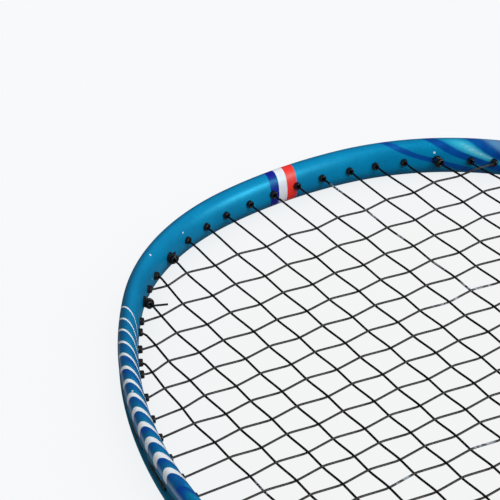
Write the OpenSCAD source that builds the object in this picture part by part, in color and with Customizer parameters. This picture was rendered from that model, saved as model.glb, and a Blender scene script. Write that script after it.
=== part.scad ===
// Strung graphite racket with an isometric head, a slim round shaft and an octagonal wooden handle.
// +X runs across the head, +Y from the butt to the tip, +Z up out of the string bed.
// The origin is the middle of the butt face; the strings lie in the plane z = 0.
// "Right" is +X and "left" is -X; sizes are in millimetres and angles in degrees.

/* [Overall] */
// Overall length, butt face to the tip of the head
overall_len = 675; // [660:1:680]

/* [Head curve] */
// Radius of the crown, on the inside of the head
crown_r = 113.7; // [108:0.1:118]
// Half angle that the crown arc spans
crown_half = 9.15; // [8:0.05:11]
// Radius of the upper shoulders
shoulder_r = 67.8; // [64:0.1:70]
// Angle from straight sideways at which a shoulder runs into the side
shoulder_end = 36.2; // [33:0.1:39]
// Radius of the long sides
side_r = 158.8; // [150:0.1:165]
// Angle that a side spans below the widest point
side_low = 39.2; // [37:0.1:41]
// Radius of the lower shoulders
low_shoulder_r = 70.5; // [66:0.1:74]
// Half angle of the arc at the throat
throat_half = 30; // [27:1:33]

/* [Frame tube] */
// Width of the tube in the plane of the strings
tube_w = 5.0; // [4.8:0.1:5.6]
// Depth of the tube across the plane of the strings
tube_d = 10.7; // [10.2:0.1:11.2]
// Corner radius of the tube's section
tube_round = 2.3; // [1.8:0.1:2.4]
// Thickness of the laid-up wall
tube_wall = 0.85; // [0.7:0.05:0.95]
// Width of the string groove round the outside
groove_w = 4.0; // [3.8:0.1:4.2]
// Depth of the string groove
groove_deep = 1.2; // [1.1:0.05:1.3]

/* [Strings] */
// Diameter of the string
string_d = 0.66; // [0.6:0.02:0.7]
// Number of main strings, which run along the racket
n_mains = 20; // [20:2:20]
// Distance between neighbouring mains
main_pitch = 8.07; // [7.9:0.01:8.2]
// Number of cross strings
n_cross = 23; // [23:1:23]
// Distance from the inside of the tip to the first cross
cross_first = 22.0; // [21.5:0.1:22.5]
// Widest distance between crosses, at the tip
cross_wide = 11.2; // [10.8:0.1:11.4]
// Closest distance between crosses, in the middle of the bed
cross_close = 7.95; // [7.8:0.05:8.1]

/* [Grommets] */
// Outside diameter of a grommet's barrel
grommet_d = 2.1; // [2.0:0.1:2.4]
// Bore of a grommet
grommet_bore = 1.2; // [1.1:0.1:1.3]
// Outside diameter of a tie-off grommet, which takes two strings
tie_off_d = 2.8; // [2.7:0.1:3.0]
// Bore of a tie-off grommet
tie_off_bore = 2.1; // [2.0:0.1:2.2]
// How far a barrel stands proud inside the head
grommet_proud = 1.3; // [1.2:0.1:1.8]
// Diameter of the flange in the groove
flange_d = 3.4; // [3.2:0.1:3.6]
// Thickness of the flange
flange_t = 0.5; // [0.4:0.1:0.6]

/* [Shaft] */
// Outside diameter of the shaft
shaft_d = 7.0; // [6.8:0.1:7.4]
// Inside diameter of the shaft
shaft_bore = 5.0; // [4.6:0.1:5.2]
// Length of the shaft that goes down into the handle
shaft_buried = 85; // [70:1:95]

/* [Handle] */
// Length of the wooden handle
wood_len = 166; // [160:1:168]
// Width of the bare wood, in the plane of the strings
wood_w = 22.2; // [21.4:0.1:23]
// Thickness of the bare wood, across the plane of the strings
wood_t = 19.4; // [18.8:0.1:20]
// Extra size of the flare at the butt, all round
flare = 2.9; // [2.4:0.1:3.2]
// Thickness of the grip
grip_t = 1.7; // [1.4:0.1:1.9]
// Height of the top of the cone cap above the butt
cone_top = 206; // [200:1:210]

/* [Hidden] */
carbon_teal = [0.05, 0.42, 0.60];
grommet_black = [0.03, 0.03, 0.03];
string_black = [0.05, 0.05, 0.05];

// ---- Curve round the inside of the head: five tangent arcs a side.
// A place on it is given by the angle of its outward normal, for the right-hand side.
function outward(angle) = [cos(angle), sin(angle)];
tip_y = overall_len - tube_w;            // inside of the frame at the tip
crown_end = 90 - crown_half;
throat_end = -(90 - throat_half);
crown_c = [0, tip_y - crown_r];
shoulder_c = crown_c + (crown_r - shoulder_r) * outward(crown_end);
side_c = shoulder_c + (shoulder_r - side_r) * outward(shoulder_end);
low_shoulder_c = side_c + (side_r - low_shoulder_r) * outward(-side_low);
throat_r = low_shoulder_r + low_shoulder_c[0] / sin(throat_half);
throat_c = low_shoulder_c + (low_shoulder_r - throat_r) * outward(throat_end);
throat_out_y = throat_c[1] - throat_r - tube_w;      // outside of the frame at the throat

// [centre, radius, from angle, to angle], from the crown down
ARCS = [
    [crown_c, crown_r, crown_end, 90],
    [shoulder_c, shoulder_r, shoulder_end, crown_end],
    [side_c, side_r, -side_low, shoulder_end],
    [low_shoulder_c, low_shoulder_r, throat_end, -side_low],
    [throat_c, throat_r, -90, throat_end]];
function arc_at(angle) = ARCS[
    angle > crown_end ? 0 : angle > shoulder_end ? 1 : angle > -side_low ? 2
    : angle > throat_end ? 3 : 4];
// a point on the right-hand side, the distance out from the inside wall
function head_point(angle, out) =
    let (arc = arc_at(angle)) arc[0] + (arc[1] + out) * outward(angle);
// a point on either side: side is 1 on the right and -1 on the left
function side_point(angle, out, side, z) =
    let (point = head_point(angle, out)) [side * point[0], point[1], z];
// the normal angle at which the curve offset by out crosses y
function inside_arc(angle, arc) = angle >= arc[2] - 1e-6 && angle <= arc[3] + 1e-6;
function angle_of_y(y, out) = let (found = [for (arc = ARCS)
    let (sine = (y - arc[0][1]) / (arc[1] + out), angle = abs(sine) <= 1 ? asin(sine) : 999)
    if (inside_arc(angle, arc)) angle]) found[0];

// ---- Where the strings run, as distances out from the inside wall
groove_floor = tube_w - groove_deep;
mouth = -grommet_proud - 0.45;           // a string turns here, just inside the head
deep = tube_w - 1.1;                     // a string is still straight here, inside the barrel
rise = tube_w - 0.6;                     // and is bending into the groove here
lane = groove_floor + flange_t + string_d / 2 + 0.03;      // a string lies here in the groove
// heights of the lanes in the groove
main_z = -0.80;
main_tail_z = -1.52;                     // the ends of the main string, back to their tie-offs
cross_z = 0.80;

// Mains are numbered from left to right, so the right-hand half starts at half_mains
half_mains = n_mains / 2;
last_main = n_mains - 1;
MAIN_X = [for (i = [0:last_main]) (i - last_main / 2) * main_pitch];
// normal angles of the holes for the mains, from the middle outwards
CROWN_ANGLES = [88.0, 83.9, 78.7, 72.1, 65.0, 57.0, 48.8, 38.4, 31.9, 27.0];
THROAT_ANGLES = [-86.9, -80.4, -73.9, -67.2, -60.3, -52.5, -44.1, -37.1, -32.4, -27.0];
function from_middle(main) = main < half_mains ? half_mains - 1 - main : main - half_mains;
// the same angles for each main
TOP = [for (i = [0:last_main]) CROWN_ANGLES[from_middle(i)]];
LOW = [for (i = [0:last_main]) THROAT_ANGLES[from_middle(i)]];
// each main bows in from its place in the bed to its two holes
bow_len = 6;
function top_y(main) = head_point(TOP[main], mouth)[1];
function low_y(main) = head_point(LOW[main], mouth)[1];
function main_x(main, y) = let (bed_x = abs(MAIN_X[main])) sign(MAIN_X[main]) * (bed_x
    - (bed_x - head_point(TOP[main], mouth)[0]) * exp((y - top_y(main)) / bow_len)
    - (bed_x - head_point(LOW[main], mouth)[0]) * exp((low_y(main) - y) / bow_len));

// Crosses are numbered from the tip down, close in the middle of the bed and wide at both ends
function cross_gap(j) = cross_close
    - 0.85 * exp(-pow((j - 10.6) / 2.2, 2))                      // dip in the middle
    + (cross_wide - cross_close + 0.9) * exp(-j / 2.3)           // widening at the tip
    + 3.35 / (1 + exp((16.6 - j) / 1.25));                       // widening at the throat
function cross_y(j) = j == 0 ? tip_y - cross_first : cross_y(j - 1) - cross_gap(j - 1);
CROSS_Y = [for (j = [0:n_cross - 1]) cross_y(j)];
// normal angles of the holes; the first few crosses drop a little towards theirs
CROSS_ANGLES = [for (j = [0:n_cross - 1])
    angle_of_y(CROSS_Y[j], mouth) - (j == 0 ? 1.4 : j < 6 ? 0.4 : 0)];
function meets(main, j) = CROSS_Y[j] < top_y(main) && CROSS_Y[j] > low_y(main);

// ---- Holes, as [normal angle, side]
CROWN_HOLES = [for (i = [half_mains:last_main]) for (side = [1, -1]) [TOP[i], side]];
THROAT_HOLES = [for (i = [half_mains:last_main]) for (side = [1, -1]) [LOW[i], side]];
CROSS_HOLES = [for (angle = CROSS_ANGLES) for (side = [1, -1]) [angle, side]];
HOLES = concat(CROWN_HOLES, THROAT_HOLES, CROSS_HOLES);
main_tie = 15;             // its upper holes, and their mirror images, take the main string's ends
cross_start_tie = 17;      // its upper hole, mirrored to the left, takes the start of the cross
cross_end_tie = 15;        // its lower hole, on the right, takes the end of the cross
TIE_OFFS = [
    [TOP[main_tie], 1], [TOP[main_tie], -1], [TOP[cross_start_tie], -1], [LOW[cross_end_tie], 1]];
function tied(hole) = len([for (tie = TIE_OFFS) if (tie == hole) tie]) > 0;
function hole_d(hole) = (tied(hole) ? tie_off_d : grommet_d) + 0.06;
// stands children in a hole: their z axis runs outwards along the normal
module at_hole(hole, out = 0) {
    angle = hole[0];
    side = hole[1];
    translate(side_point(angle, out, side, 0))
        rotate([0, 0, side > 0 ? angle : 180 - angle])
            rotate([0, 90, 0])
                children();
}
module drill(hole) {
    past = 2;
    at_hole(hole, -past)
        cylinder(d = hole_d(hole), h = tube_w + 2 * past, $fn = 24);
}

// ---- Helpers for parts that lie along the racket
module along_y(y) {
    translate([0, y, 0])
        rotate([-90, 0, 0])
            children();
}
module rod(y, d, length, facets = 64) {
    along_y(y)
        cylinder(d = d, h = length, $fn = facets);
}
function reversed(path) = [for (i = [len(path) - 1:-1:0]) path[i]];

// ---- Round section swept along a path
string_facets = 6;
function unit(v) = v / norm(v);
function tangent(path, i) =
    i == 0 ? unit(path[1] - path[0])
    : i == len(path) - 1 ? unit(path[i] - path[i - 1])
    : unit(unit(path[i + 1] - path[i]) + unit(path[i] - path[i - 1]));
// the section's first axis, carried from point to point without twisting
function carry(axis, along) = unit(axis - (axis * along) * along);
function carried(path, i, axis) = i == len(path) ? []
    : let (next = carry(axis, tangent(path, i))) concat([next], carried(path, i + 1, next));
function section_at(point, along, axis, radius) =
    let (other = cross(along, axis)) [for (q = [0:string_facets - 1])
        let (turn = 360 * q / string_facets) point + radius * (cos(turn) * axis + sin(turn) * other)];
module sweep(path, radius) {
    start = tangent(path, 0);
    axes = carried(path, 0, carry(abs(start[2]) < 0.9 ? [0, 0, 1] : [1, 0, 0], start));
    count = len(path);
    k = string_facets;
    polyhedron(
        points = [for (i = [0:count - 1])
            each section_at(path[i], tangent(path, i), axes[i], radius)],
        faces = concat(
            [[for (q = [0:k - 1]) q]],
            [for (i = [0:count - 2]) for (q = [0:k - 1])
                [i * k + q, (i + 1) * k + q, (i + 1) * k + (q + 1) % k, i * k + (q + 1) % k]],
            [[for (q = [k - 1:-1:0]) (count - 1) * k + q]]),
        convexity = 4);
}

// ---- Paths through the holes and along the groove
// z is the height of the lane; way is 1 or -1, towards larger or smaller angle
deg_per_mm = 180 / PI / 90;              // on a nominal radius of 90 mm
lane_lead = 0.7;                         // angle from a hole to where a run in the lane starts
tie_short = 2.2;                         // angle at which a string stops short of its tie-off
// out through a grommet and into a lane
function out_path(angle, side, z, way) = [
    side_point(angle, mouth, side, 0),
    side_point(angle, deep, side, 0),
    side_point(angle + way * 0.35 * deg_per_mm, rise, side, 0.35 * z),
    side_point(angle + way * 1.1 * deg_per_mm, lane, side, z)];
// the points between two angles on one side, without the ends
function along_lane(from, to, side, z, spacing = 6) =
    let (count = max(1, floor(abs(to - from) / spacing)))
    count < 2 ? [] : [for (i = [1:count - 1])
        side_point(from + (to - from) * i / count, lane, side, z)];
// out of one hole and in at its neighbour on the same side
function loop(from, to, side, z) =
    let (way = to > from ? 1 : -1, count = max(1, floor(abs(to - from) / 4)))
    concat(
        out_path(from, side, z, way),
        count < 2 ? [] : [for (i = [1:count - 1]) side_point(
            from + way * lane_lead + (to - from - way * 2 * lane_lead) * i / count,
            lane, side, z)],
        reversed(out_path(to, side, z, -way)));

// Main string: one length, laced from the middle of the crown outwards to each side.
// A main bends at the outer two crosses at each end.
function main_run(main, side, down) =
    let (met = [for (j = [0:n_cross - 1]) if (meets(main, j)) j], count = len(met),
        bends = [met[0], met[1], met[count - 2], met[count - 1]])
    [for (j = down ? bends : reversed(bends)) [side * main_x(main, CROSS_Y[j]), CROSS_Y[j], 0]];
// the loop after a main: at the throat after a run down, at the crown after a run up
function main_loop(main, side, down) =
    let (angles = down ? LOW : TOP) loop(angles[main], angles[main + 1], side, main_z);
// the last main runs up to the crown, then back along the groove to its tie-off hole
function main_end(side) = let (angle = TOP[last_main], stop = TOP[main_tie] - tie_short) concat(
    [side_point(angle, mouth, side, 0),
     side_point(angle, deep, side, 0),
     side_point(angle + 0.25, rise, side, 0.35 * main_tail_z),
     side_point(angle + 0.9, lane, side, main_tail_z)],
    along_lane(angle + 0.9, stop, side, main_tail_z),
    [side_point(stop, lane, side, main_tail_z)]);
// from the loop over the crown to the end, on one side
function main_half(side) = concat(
    [[0, head_point(90, lane)[1], main_z], side_point(87.9, lane, side, main_z)],
    reversed(out_path(TOP[half_mains], side, main_z, 1)),
    [for (i = [0:half_mains - 1]) each let (main = half_mains + i, down = i % 2 == 0) concat(
        main_run(main, side, down),
        main == last_main ? [] : main_loop(main, side, down))],
    main_end(side));
function main_path() = let (left = main_half(-1))
    concat(reversed(main_half(1)), [for (i = [1:len(left) - 1]) left[i]]);

// Cross string: one length, woven over and under the mains from the tip to the throat
lift = string_d + 0.06;
function weave_z(main, j) = (main + j) % 2 == 0 ? lift : -lift;
// one row, starting from the given side
function row(j, side) =
    let (points = [for (i = [0:last_main]) if (meets(i, j))
        [main_x(i, CROSS_Y[j]), CROSS_Y[j], weave_z(i, j)]])
    side > 0 ? reversed(points) : points;
// row 0 starts on the left, row 1 runs back from the right, and so on; the last ends on the right
function cross_path() = let (end = CROSS_ANGLES[n_cross - 1], stop = LOW[cross_end_tie] + tie_short)
    concat(
        [side_point(TOP[cross_start_tie] + tie_short, lane, -1, cross_z)],
        reversed(out_path(CROSS_ANGLES[0], -1, cross_z, -1)),
        [for (j = [0:n_cross - 1]) each let (side = j % 2 == 0 ? -1 : 1) concat(
            row(j, side),
            j < n_cross - 1 ? loop(CROSS_ANGLES[j], CROSS_ANGLES[j + 1], -side, cross_z) : [])],
        out_path(end, 1, cross_z, -1),
        along_lane(end - lane_lead, stop, 1, cross_z),
        [side_point(stop, lane, 1, cross_z)]);

module main_string() color(string_black) sweep(main_path(), string_d / 2);
module cross_string() color([0.12, 0.12, 0.12]) sweep(cross_path(), string_d / 2);

// Knot: the string's end comes in through the tie-off grommet, wraps the string of that main
// three times and is cut short. inward is the way in along y, from the crown (-1) or the
// throat (1); face is 1 above the string bed or -1 below it.
module knot(main, side, inward, face, groove_z) {
    at_crown = inward < 0;
    angle = at_crown ? TOP[main] : LOW[main];
    string_x = side * main_x(main, (at_crown ? top_y(main) : low_y(main)) + inward * 1.3);
    start_y = head_point(angle, mouth - 0.7)[1];
    wrap_r = string_d + 0.05;
    wrap_pitch = 0.72;
    entry_z = face * 0.7;
    steps_per_turn = 10;
    entry = [
        side_point(angle + face * 1.1 * deg_per_mm * 1.7, lane, side, groove_z),
        side_point(angle + face * 0.4 * deg_per_mm, rise + 0.08, side, groove_z * 0.7),
        side_point(angle, deep, side, entry_z),
        side_point(angle, mouth, side, entry_z * 1.1)];
    wraps = [for (q = [0:3 * steps_per_turn]) let (turns = q / steps_per_turn) [
        string_x + wrap_r * sin(360 * turns),
        start_y + inward * (0.35 + turns * wrap_pitch),
        face * wrap_r * cos(360 * turns)]];
    tail = [
        [string_x + 1.2, start_y + inward * 2.7, face * wrap_r * 1.25],
        [string_x + 4.8, start_y + inward * 2.2, face * wrap_r * 1.6]];
    sweep(concat(entry, wraps, tail), string_d / 2 * 0.97);
}
module knot_main_left() color(string_black) knot(main_tie, -1, -1, -1, main_tail_z);
module knot_main_right() color(string_black) knot(main_tie, 1, -1, -1, main_tail_z);
module knot_cross_top() color(string_black) knot(cross_start_tie, -1, -1, 1, cross_z);
module knot_cross_bottom() color(string_black) knot(cross_end_tie, 1, 1, 1, cross_z);

// ---- Grommets: a barrel through the tube and a flange on the floor of the groove
module grommet(bore = grommet_bore, proud = grommet_proud, barrel_d = grommet_d) {
    seat = groove_floor + 0.02;
    top = groove_floor + flange_t;
    rotate_extrude($fn = 32)
        polygon([
            [bore / 2, -proud], [max(bore / 2 + 0.06, barrel_d / 2 - 0.22), -proud],
            [barrel_d / 2, -proud + 0.35], [barrel_d / 2, seat],
            [flange_d / 2, seat], [flange_d / 2, top - 0.15],
            [flange_d / 2 - 0.2, top], [bore / 2 + 0.1, top], [bore / 2, top - 0.1]]);
}
module plain_grommets(holes) {
    for (hole = holes)
        if (!tied(hole))
            at_hole(hole) grommet();
}
module grommets_crown() color(grommet_black) plain_grommets(CROWN_HOLES);
module grommets_throat() color(grommet_black) plain_grommets(THROAT_HOLES);
module grommets_right_side() color(grommet_black)
    plain_grommets([for (angle = CROSS_ANGLES) [angle, 1]]);
module grommets_left_side() color(grommet_black)
    plain_grommets([for (angle = CROSS_ANGLES) [angle, -1]]);
module tie_off_grommets() color([0.02, 0.02, 0.02])
    for (hole = TIE_OFFS)
        at_hole(hole) grommet(tie_off_bore, grommet_proud + 0.3, tie_off_d);

// ---- Frame: a section carried round the head through a list of stations
station_gap = 6.2;                       // greatest distance between stations
function steps(arc) = ceil((arc[1] + tube_w) * (arc[3] - arc[2]) * PI / 180 / station_gap);
// [normal angle, side], up the right side and down the left
STATIONS = concat(
    [for (i = [4:-1:0]) let (arc = ARCS[i], count = steps(arc)) for (q = [0:count - 1])
        [arc[2] + (arc[3] - arc[2]) * q / count, 1]],
    [for (i = [0:4]) let (arc = ARCS[i], count = steps(arc)) for (q = [0:count - 1])
        [arc[3] - (arc[3] - arc[2]) * q / count, -1]]);

// outlines as [distance out, z], anticlockwise from the lower inner corner
function corner(out, z, from) = [for (q = [0:3])
    let (turn = from + 30 * q) [out + tube_round * cos(turn), z + tube_round * sin(turn)]];
function tube_outline() =
    let (inner = tube_round, outer = tube_w - tube_round, high = tube_d / 2 - tube_round,
        half_groove = groove_w / 2)
    concat(
        corner(inner, -high, 180), corner(outer, -high, 270),
        [[tube_w, -half_groove], [groove_floor, -half_groove],
         [groove_floor, half_groove], [tube_w, half_groove]],
        corner(outer, high, 0), corner(inner, high, 90));
cavity_w = groove_floor - 2 * tube_wall;
cavity_d = tube_d - 2 * tube_wall;
// the hollow with bevelled corners, shrunk all round
function cavity_outline(shrink = 0) =
    let (high = cavity_d / 2 - shrink, inner = tube_wall + shrink,
        outer = inner + cavity_w - 2 * shrink, bevel = 0.6)
    [[inner + bevel, -high], [outer - bevel, -high], [outer, bevel - high], [outer, high - bevel],
     [outer - bevel, high], [inner + bevel, high], [inner, high - bevel], [inner, bevel - high]];
// a closed skin joins its last station to its first; an open one has flat ends
module skin(outline, stations, closed) {
    count = len(stations);
    m = len(outline);
    bands = [for (i = [0:count - (closed ? 1 : 2)]) for (q = [0:m - 1])
        let (j = (i + 1) % count, p = (q + 1) % m)
        each [[i * m + q, j * m + p, j * m + q], [i * m + q, i * m + p, j * m + p]]];
    ends = [[for (q = [m - 1:-1:0]) q], [for (q = [0:m - 1]) (count - 1) * m + q]];
    polyhedron(
        points = [for (station = stations) for (q = outline)
            side_point(station[0], q[0], station[1], q[1])],
        faces = closed ? bands : concat(bands, ends),
        convexity = 10);
}

// Socket and joint at the throat
socket_y = throat_out_y - 21;            // open end of the shaft's socket
shaft_top_y = throat_out_y - 3.2;        // the shaft stops here
stem_d = 4.8;
stem_reach = 6.4;                        // length of the joint's stem beyond the shaft
joint_half = asin(14.3 / (throat_r + 2));            // half angle left to the joint by the foam

module fillet_outline() difference() {
    fillet_r = 12;
    translate([-12.5, throat_out_y - 11]) square([25, 13]);
    for (side = [1, -1])
        translate([side * (4.4 + fillet_r), throat_out_y - 12.6]) circle(r = fillet_r, $fn = 96);
    for (side = [1, -1])
        translate([side > 0 ? 10 : -30, throat_out_y - 20]) square([20, 18.5]);
}
module throat_boss() difference() {
    fillet_t = 8.6;
    notch_x = 2.75;
    notch_w = 14;
    union() {
        // socket for the shaft, tapering towards the handle
        along_y(socket_y)
            cylinder(r1 = 4.35, r2 = 5.1, h = throat_out_y - socket_y + 4, $fn = 64);
        // fillets from the socket out to the frame, in the plane of the strings
        translate([0, 0, -fillet_t / 2])
            linear_extrude(height = fillet_t)
                fillet_outline();
    }
    // up to just past the floor of the groove
    translate([throat_c[0], throat_c[1], -10])
        cylinder(r = throat_r + groove_floor - 0.25, h = 20, $fn = 720);
    // notches that let the middle loops pass beside the joint
    for (side = [1, -1])
        translate([side > 0 ? notch_x : -notch_x - notch_w, throat_out_y - 1.9, -groove_w / 2])
            cube([notch_w, 5, groove_w]);
}
module head_frame() color(carbon_teal) difference() {
    union() {
        skin(tube_outline(), STATIONS, closed = true);
        throat_boss();
    }
    skin(cavity_outline(), STATIONS, closed = true);
    for (hole = HOLES) drill(hole);
    // shaft socket and the passage for the joint's stem
    rod(socket_y - 1, shaft_d + 0.06, shaft_top_y - socket_y + 1);
    rod(shaft_top_y - 1, stem_d + 0.06, stem_reach + 1, 48);
}

// Foam in the frame's hollow, from one arm of the joint round to the other
FOAM_STATIONS = concat(
    [[joint_half - 90, 1]],
    [for (station = STATIONS) if (station[0] > joint_half - 89) station],
    [[joint_half - 90, -1]]);
module frame_foam_core() color([0.93, 0.90, 0.80]) difference() {
    skin(cavity_outline(0.04), FOAM_STATIONS, closed = false);
    for (hole = HOLES) drill(hole);
}

// Moulded T inside the throat: arms in the frame's cavity, stem in the shaft's bore
module arm_section() {
    shrink = 0.16;
    w = cavity_w - 2 * shrink;
    d = cavity_d - 2 * shrink;
    r = 0.8 - shrink;
    translate([tube_wall + shrink, -d / 2]) union() {
        translate([r, 0]) square([w - 2 * r, d]);
        translate([0, r]) square([w, d - 2 * r]);
        for (x = [r, w - r], y = [r, d - r])
            translate([x, y]) circle(r = r, $fn = 32);
    }
}
module t_joint_core() color([0.16, 0.16, 0.18]) difference() {
    arm_half = joint_half - 0.2;
    stem_in_shaft = 14;
    union() {
        translate([throat_c[0], throat_c[1], 0])
            rotate([0, 0, -90 - arm_half])
                rotate_extrude(angle = 2 * arm_half, $fn = 720)
                    translate([throat_r, 0]) arm_section();
        rod(shaft_top_y - stem_in_shaft, stem_d, stem_in_shaft + stem_reach, 48);
    }
    // only the middle throat holes reach the arms
    for (hole = HOLES)
        if (hole[0] < -75) drill(hole);
}

// ---- Shaft
shaft_y = cone_top - 6 - shaft_buried;   // lower end, inside the handle
module shaft_tube() color([0.06, 0.10, 0.16]) difference() {
    rod(shaft_y, shaft_d, shaft_top_y - 0.05 - shaft_y);
    rod(50, shaft_bore, 500, 48);
}

// ---- Handle, as octagonal rings along the racket
wood_y = 3;                              // butt end of the wood
butt_bore_d = 13;
spigot_d = 14;
spigot_len = 13;                         // starts 1 mm down inside the wood
grip_y = 3.1;
grip_top_y = wood_len - 2;
flare_len = 42;
// heights of the rings through the flare
FLARE_Y = [0, 3, 6, 10, 14, 18, 22, 26, 30, 34, 38, flare_len];
// flare all round at height y: full at the butt, gone at flare_len
function flare_at(y) = y > flare_len ? 0 : flare * pow(cos(90 * y / flare_len), 1.6);
// an octagon whose corners are cut back by cut, at height y
function octagon(width, thick, cut, y) = let (a = width / 2, b = thick / 2) [
    [a, y, -b + cut], [a, y, b - cut], [a - cut, y, b], [-a + cut, y, b],
    [-a, y, b - cut], [-a, y, -b + cut], [-a + cut, y, -b], [a - cut, y, -b]];
// the wood's outline at height y, grown all round
function wood_ring(y, grow) = let (extra = flare_at(y)) octagon(
    wood_w + 2 * extra + 2 * grow,
    wood_t + 2 * extra * 0.9 + 2 * grow,
    6.1 + extra * 0.55 + grow * 0.59, y);
module octagon_loft(rings) {
    count = len(rings);
    polyhedron(
        points = [for (ring = rings) each ring],
        faces = concat(
            [[for (q = [7:-1:0]) q]],
            [for (i = [0:count - 2]) for (q = [0:7])
                [i * 8 + q, i * 8 + (q + 1) % 8, (i + 1) * 8 + (q + 1) % 8, (i + 1) * 8 + q]],
            [[for (q = [0:7]) (count - 1) * 8 + q]]),
        convexity = 4);
}
module wood_shape(grow, from, to) {
    between = [for (y = FLARE_Y) if (y > from + 0.4 && y < to - 0.4) y];
    octagon_loft([for (y = concat([from], between, [to])) wood_ring(y, grow)]);
}
module handle_core() color([0.80, 0.66, 0.45]) difference() {
    union() {
        wood_shape(0, wood_y, wood_len);
        // round spigot that carries the cone cap
        rod(wood_len - 1, spigot_d, spigot_len);
    }
    // bore for the shaft, and the lightening bore from the butt
    rod(shaft_y, shaft_d + 0.08, 200);
    rod(wood_y - 1, butt_bore_d, 72);
    staple_slots();
}
module cone_cap() color([0.05, 0.05, 0.06]) difference() {
    cone_len = cone_top - wood_len;
    rim_r = 11.6;
    rim_h = 1.2;
    along_y(wood_len + 0.1)
        rotate_extrude($fn = 96)
            polygon(concat(
                [[0, 0], [rim_r, 0], [rim_r, rim_h]],
                [for (i = [0:16]) let (t = i / 16)
                    [4.7 + 6.6 * pow(1 - t, 1.35), rim_h + (cone_len - rim_h - 1) * t]],
                [[4.3, cone_len - 0.3], [0, cone_len - 0.3]]));
    rod(wood_len - 1, spigot_d + 0.2, spigot_len + 0.4);
    rod(wood_len - 1, shaft_d + 0.12, 80);
}

// Moulded cap on the butt, with a plug that centres it in the wood and a recess for the badge
badge_d = 19;
module butt_cap() color([0.04, 0.04, 0.05]) difference() {
    union() {
        octagon_loft([
            wood_ring(0, grip_t - 0.5), wood_ring(0.7, grip_t - 0.1),
            wood_ring(2.2, grip_t - 0.1), wood_ring(2.9, grip_t - 0.5)]);
        rod(2, butt_bore_d - 0.2, 9);
    }
    rod(-1, badge_d + 0.1, 1.8, 96);
    // hollow of the plug
    rod(4, 9.6, 12, 48);
}
module butt_badge() color([0.85, 0.87, 0.90]) rod(0, badge_d, 0.78, 96);

module grip_underlay() color([0.85, 0.85, 0.80]) difference() {
    wood_shape(0.5, grip_y, grip_top_y - 1);
    wood_shape(0.05, grip_y - 1, grip_top_y + 1);
    staple_slots();
}
module grip_wrap() color([0.07, 0.08, 0.10]) difference() {
    wood_shape(grip_t, grip_y, grip_top_y);
    wood_shape(0.55, grip_y - 1, grip_top_y + 1);
    staple_slots();
}
// Tape over the top of the grip, lapping onto the wood above it
module finishing_tape() color([0.06, 0.30, 0.52]) difference() {
    wood_shape(grip_t + 0.45, grip_top_y - 9, grip_top_y + 1.4);
    wood_shape(grip_t + 0.03, grip_top_y - 12, grip_top_y + 0.02);
    wood_shape(0.05, grip_top_y - 12, grip_top_y + 5);
}

// Two wire staples through the start of the grip into the wood, one on each broad face
wire = 0.8;
staple_y = 9;
leg_x = 4;
slot_floor = wood_t / 2 - 4;
leg_floor = slot_floor + 0.5;
staple_z = wood_t / 2 + flare_at(staple_y) * 0.9 + 0.2;    // underside of the crossbar
module both_faces() {
    for (face = [1, -1])
        mirror([0, 0, face > 0 ? 0 : 1]) children();
}
// a box centred on x and on the staple, from z up
module staple_bar(x, width, depth, z, height) {
    translate([x - width / 2, staple_y - depth / 2, z]) cube([width, depth, height]);
}
module staple_slots() both_faces() {
    clear = 0.1;
    slot = wire + 2 * clear;
    for (x = [-leg_x, leg_x])
        staple_bar(x, slot, slot, slot_floor - clear, 10 + clear);
    staple_bar(0, 2 * leg_x + slot, slot, staple_z - clear, 6 + clear);
}
module grip_staples() color([0.75, 0.76, 0.78]) both_faces() union() {
    staple_bar(0, 2 * leg_x + wire, wire, staple_z, wire);
    for (x = [-leg_x, leg_x])
        staple_bar(x, wire, wire, leg_floor, staple_z - leg_floor + wire / 2);
}

head_frame();
frame_foam_core();
t_joint_core();
shaft_tube();
cone_cap();
handle_core();
butt_cap();
butt_badge();
grip_wrap();
grip_underlay();
finishing_tape();
grip_staples();
main_string();
cross_string();
grommets_crown();
grommets_throat();
grommets_left_side();
grommets_right_side();
tie_off_grommets();
knot_main_left();
knot_main_right();
knot_cross_top();
knot_cross_bottom();
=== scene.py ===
"""A badminton racket, lying along Y with its strings in the plane z = 0.

The butt is at y = 0 and the tip of the head at y = 675; +X is the right side and +Z the top.
Shapes are worked out in millimetres and turned into metres when a mesh is made.
"""
import math
import bpy
import numpy as np
from mathutils import Matrix, Vector


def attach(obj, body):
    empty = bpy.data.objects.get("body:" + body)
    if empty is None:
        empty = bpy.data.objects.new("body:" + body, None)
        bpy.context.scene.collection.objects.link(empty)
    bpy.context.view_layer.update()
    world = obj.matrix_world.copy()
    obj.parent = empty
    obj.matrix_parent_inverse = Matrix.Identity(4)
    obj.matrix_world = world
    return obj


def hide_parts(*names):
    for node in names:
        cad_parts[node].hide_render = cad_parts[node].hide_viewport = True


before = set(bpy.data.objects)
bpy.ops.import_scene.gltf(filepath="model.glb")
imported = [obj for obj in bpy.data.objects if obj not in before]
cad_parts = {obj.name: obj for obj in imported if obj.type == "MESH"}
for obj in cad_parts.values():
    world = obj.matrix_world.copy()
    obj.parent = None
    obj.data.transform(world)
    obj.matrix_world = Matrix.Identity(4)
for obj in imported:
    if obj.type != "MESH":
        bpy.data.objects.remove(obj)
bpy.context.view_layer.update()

RNG = np.random.default_rng(7)

# ------------------------------------------------------------------ sizes of the head
OVERALL = 675.0
# inner radii of the arcs from the tip round to the throat
CROWN_R, SHOULDER_R, SIDE_R, LOWER_R = 113.7, 67.8, 158.8, 70.5
# the angle of the tube's normal, in degrees from +X, where each arc gives way to the next
CROWN_END, SHOULDER_END, SIDE_END = 90 - 9.15, 36.2, -39.2
THROAT_SPAN = 30.0
LOWER_END = -(90 - THROAT_SPAN)
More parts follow.
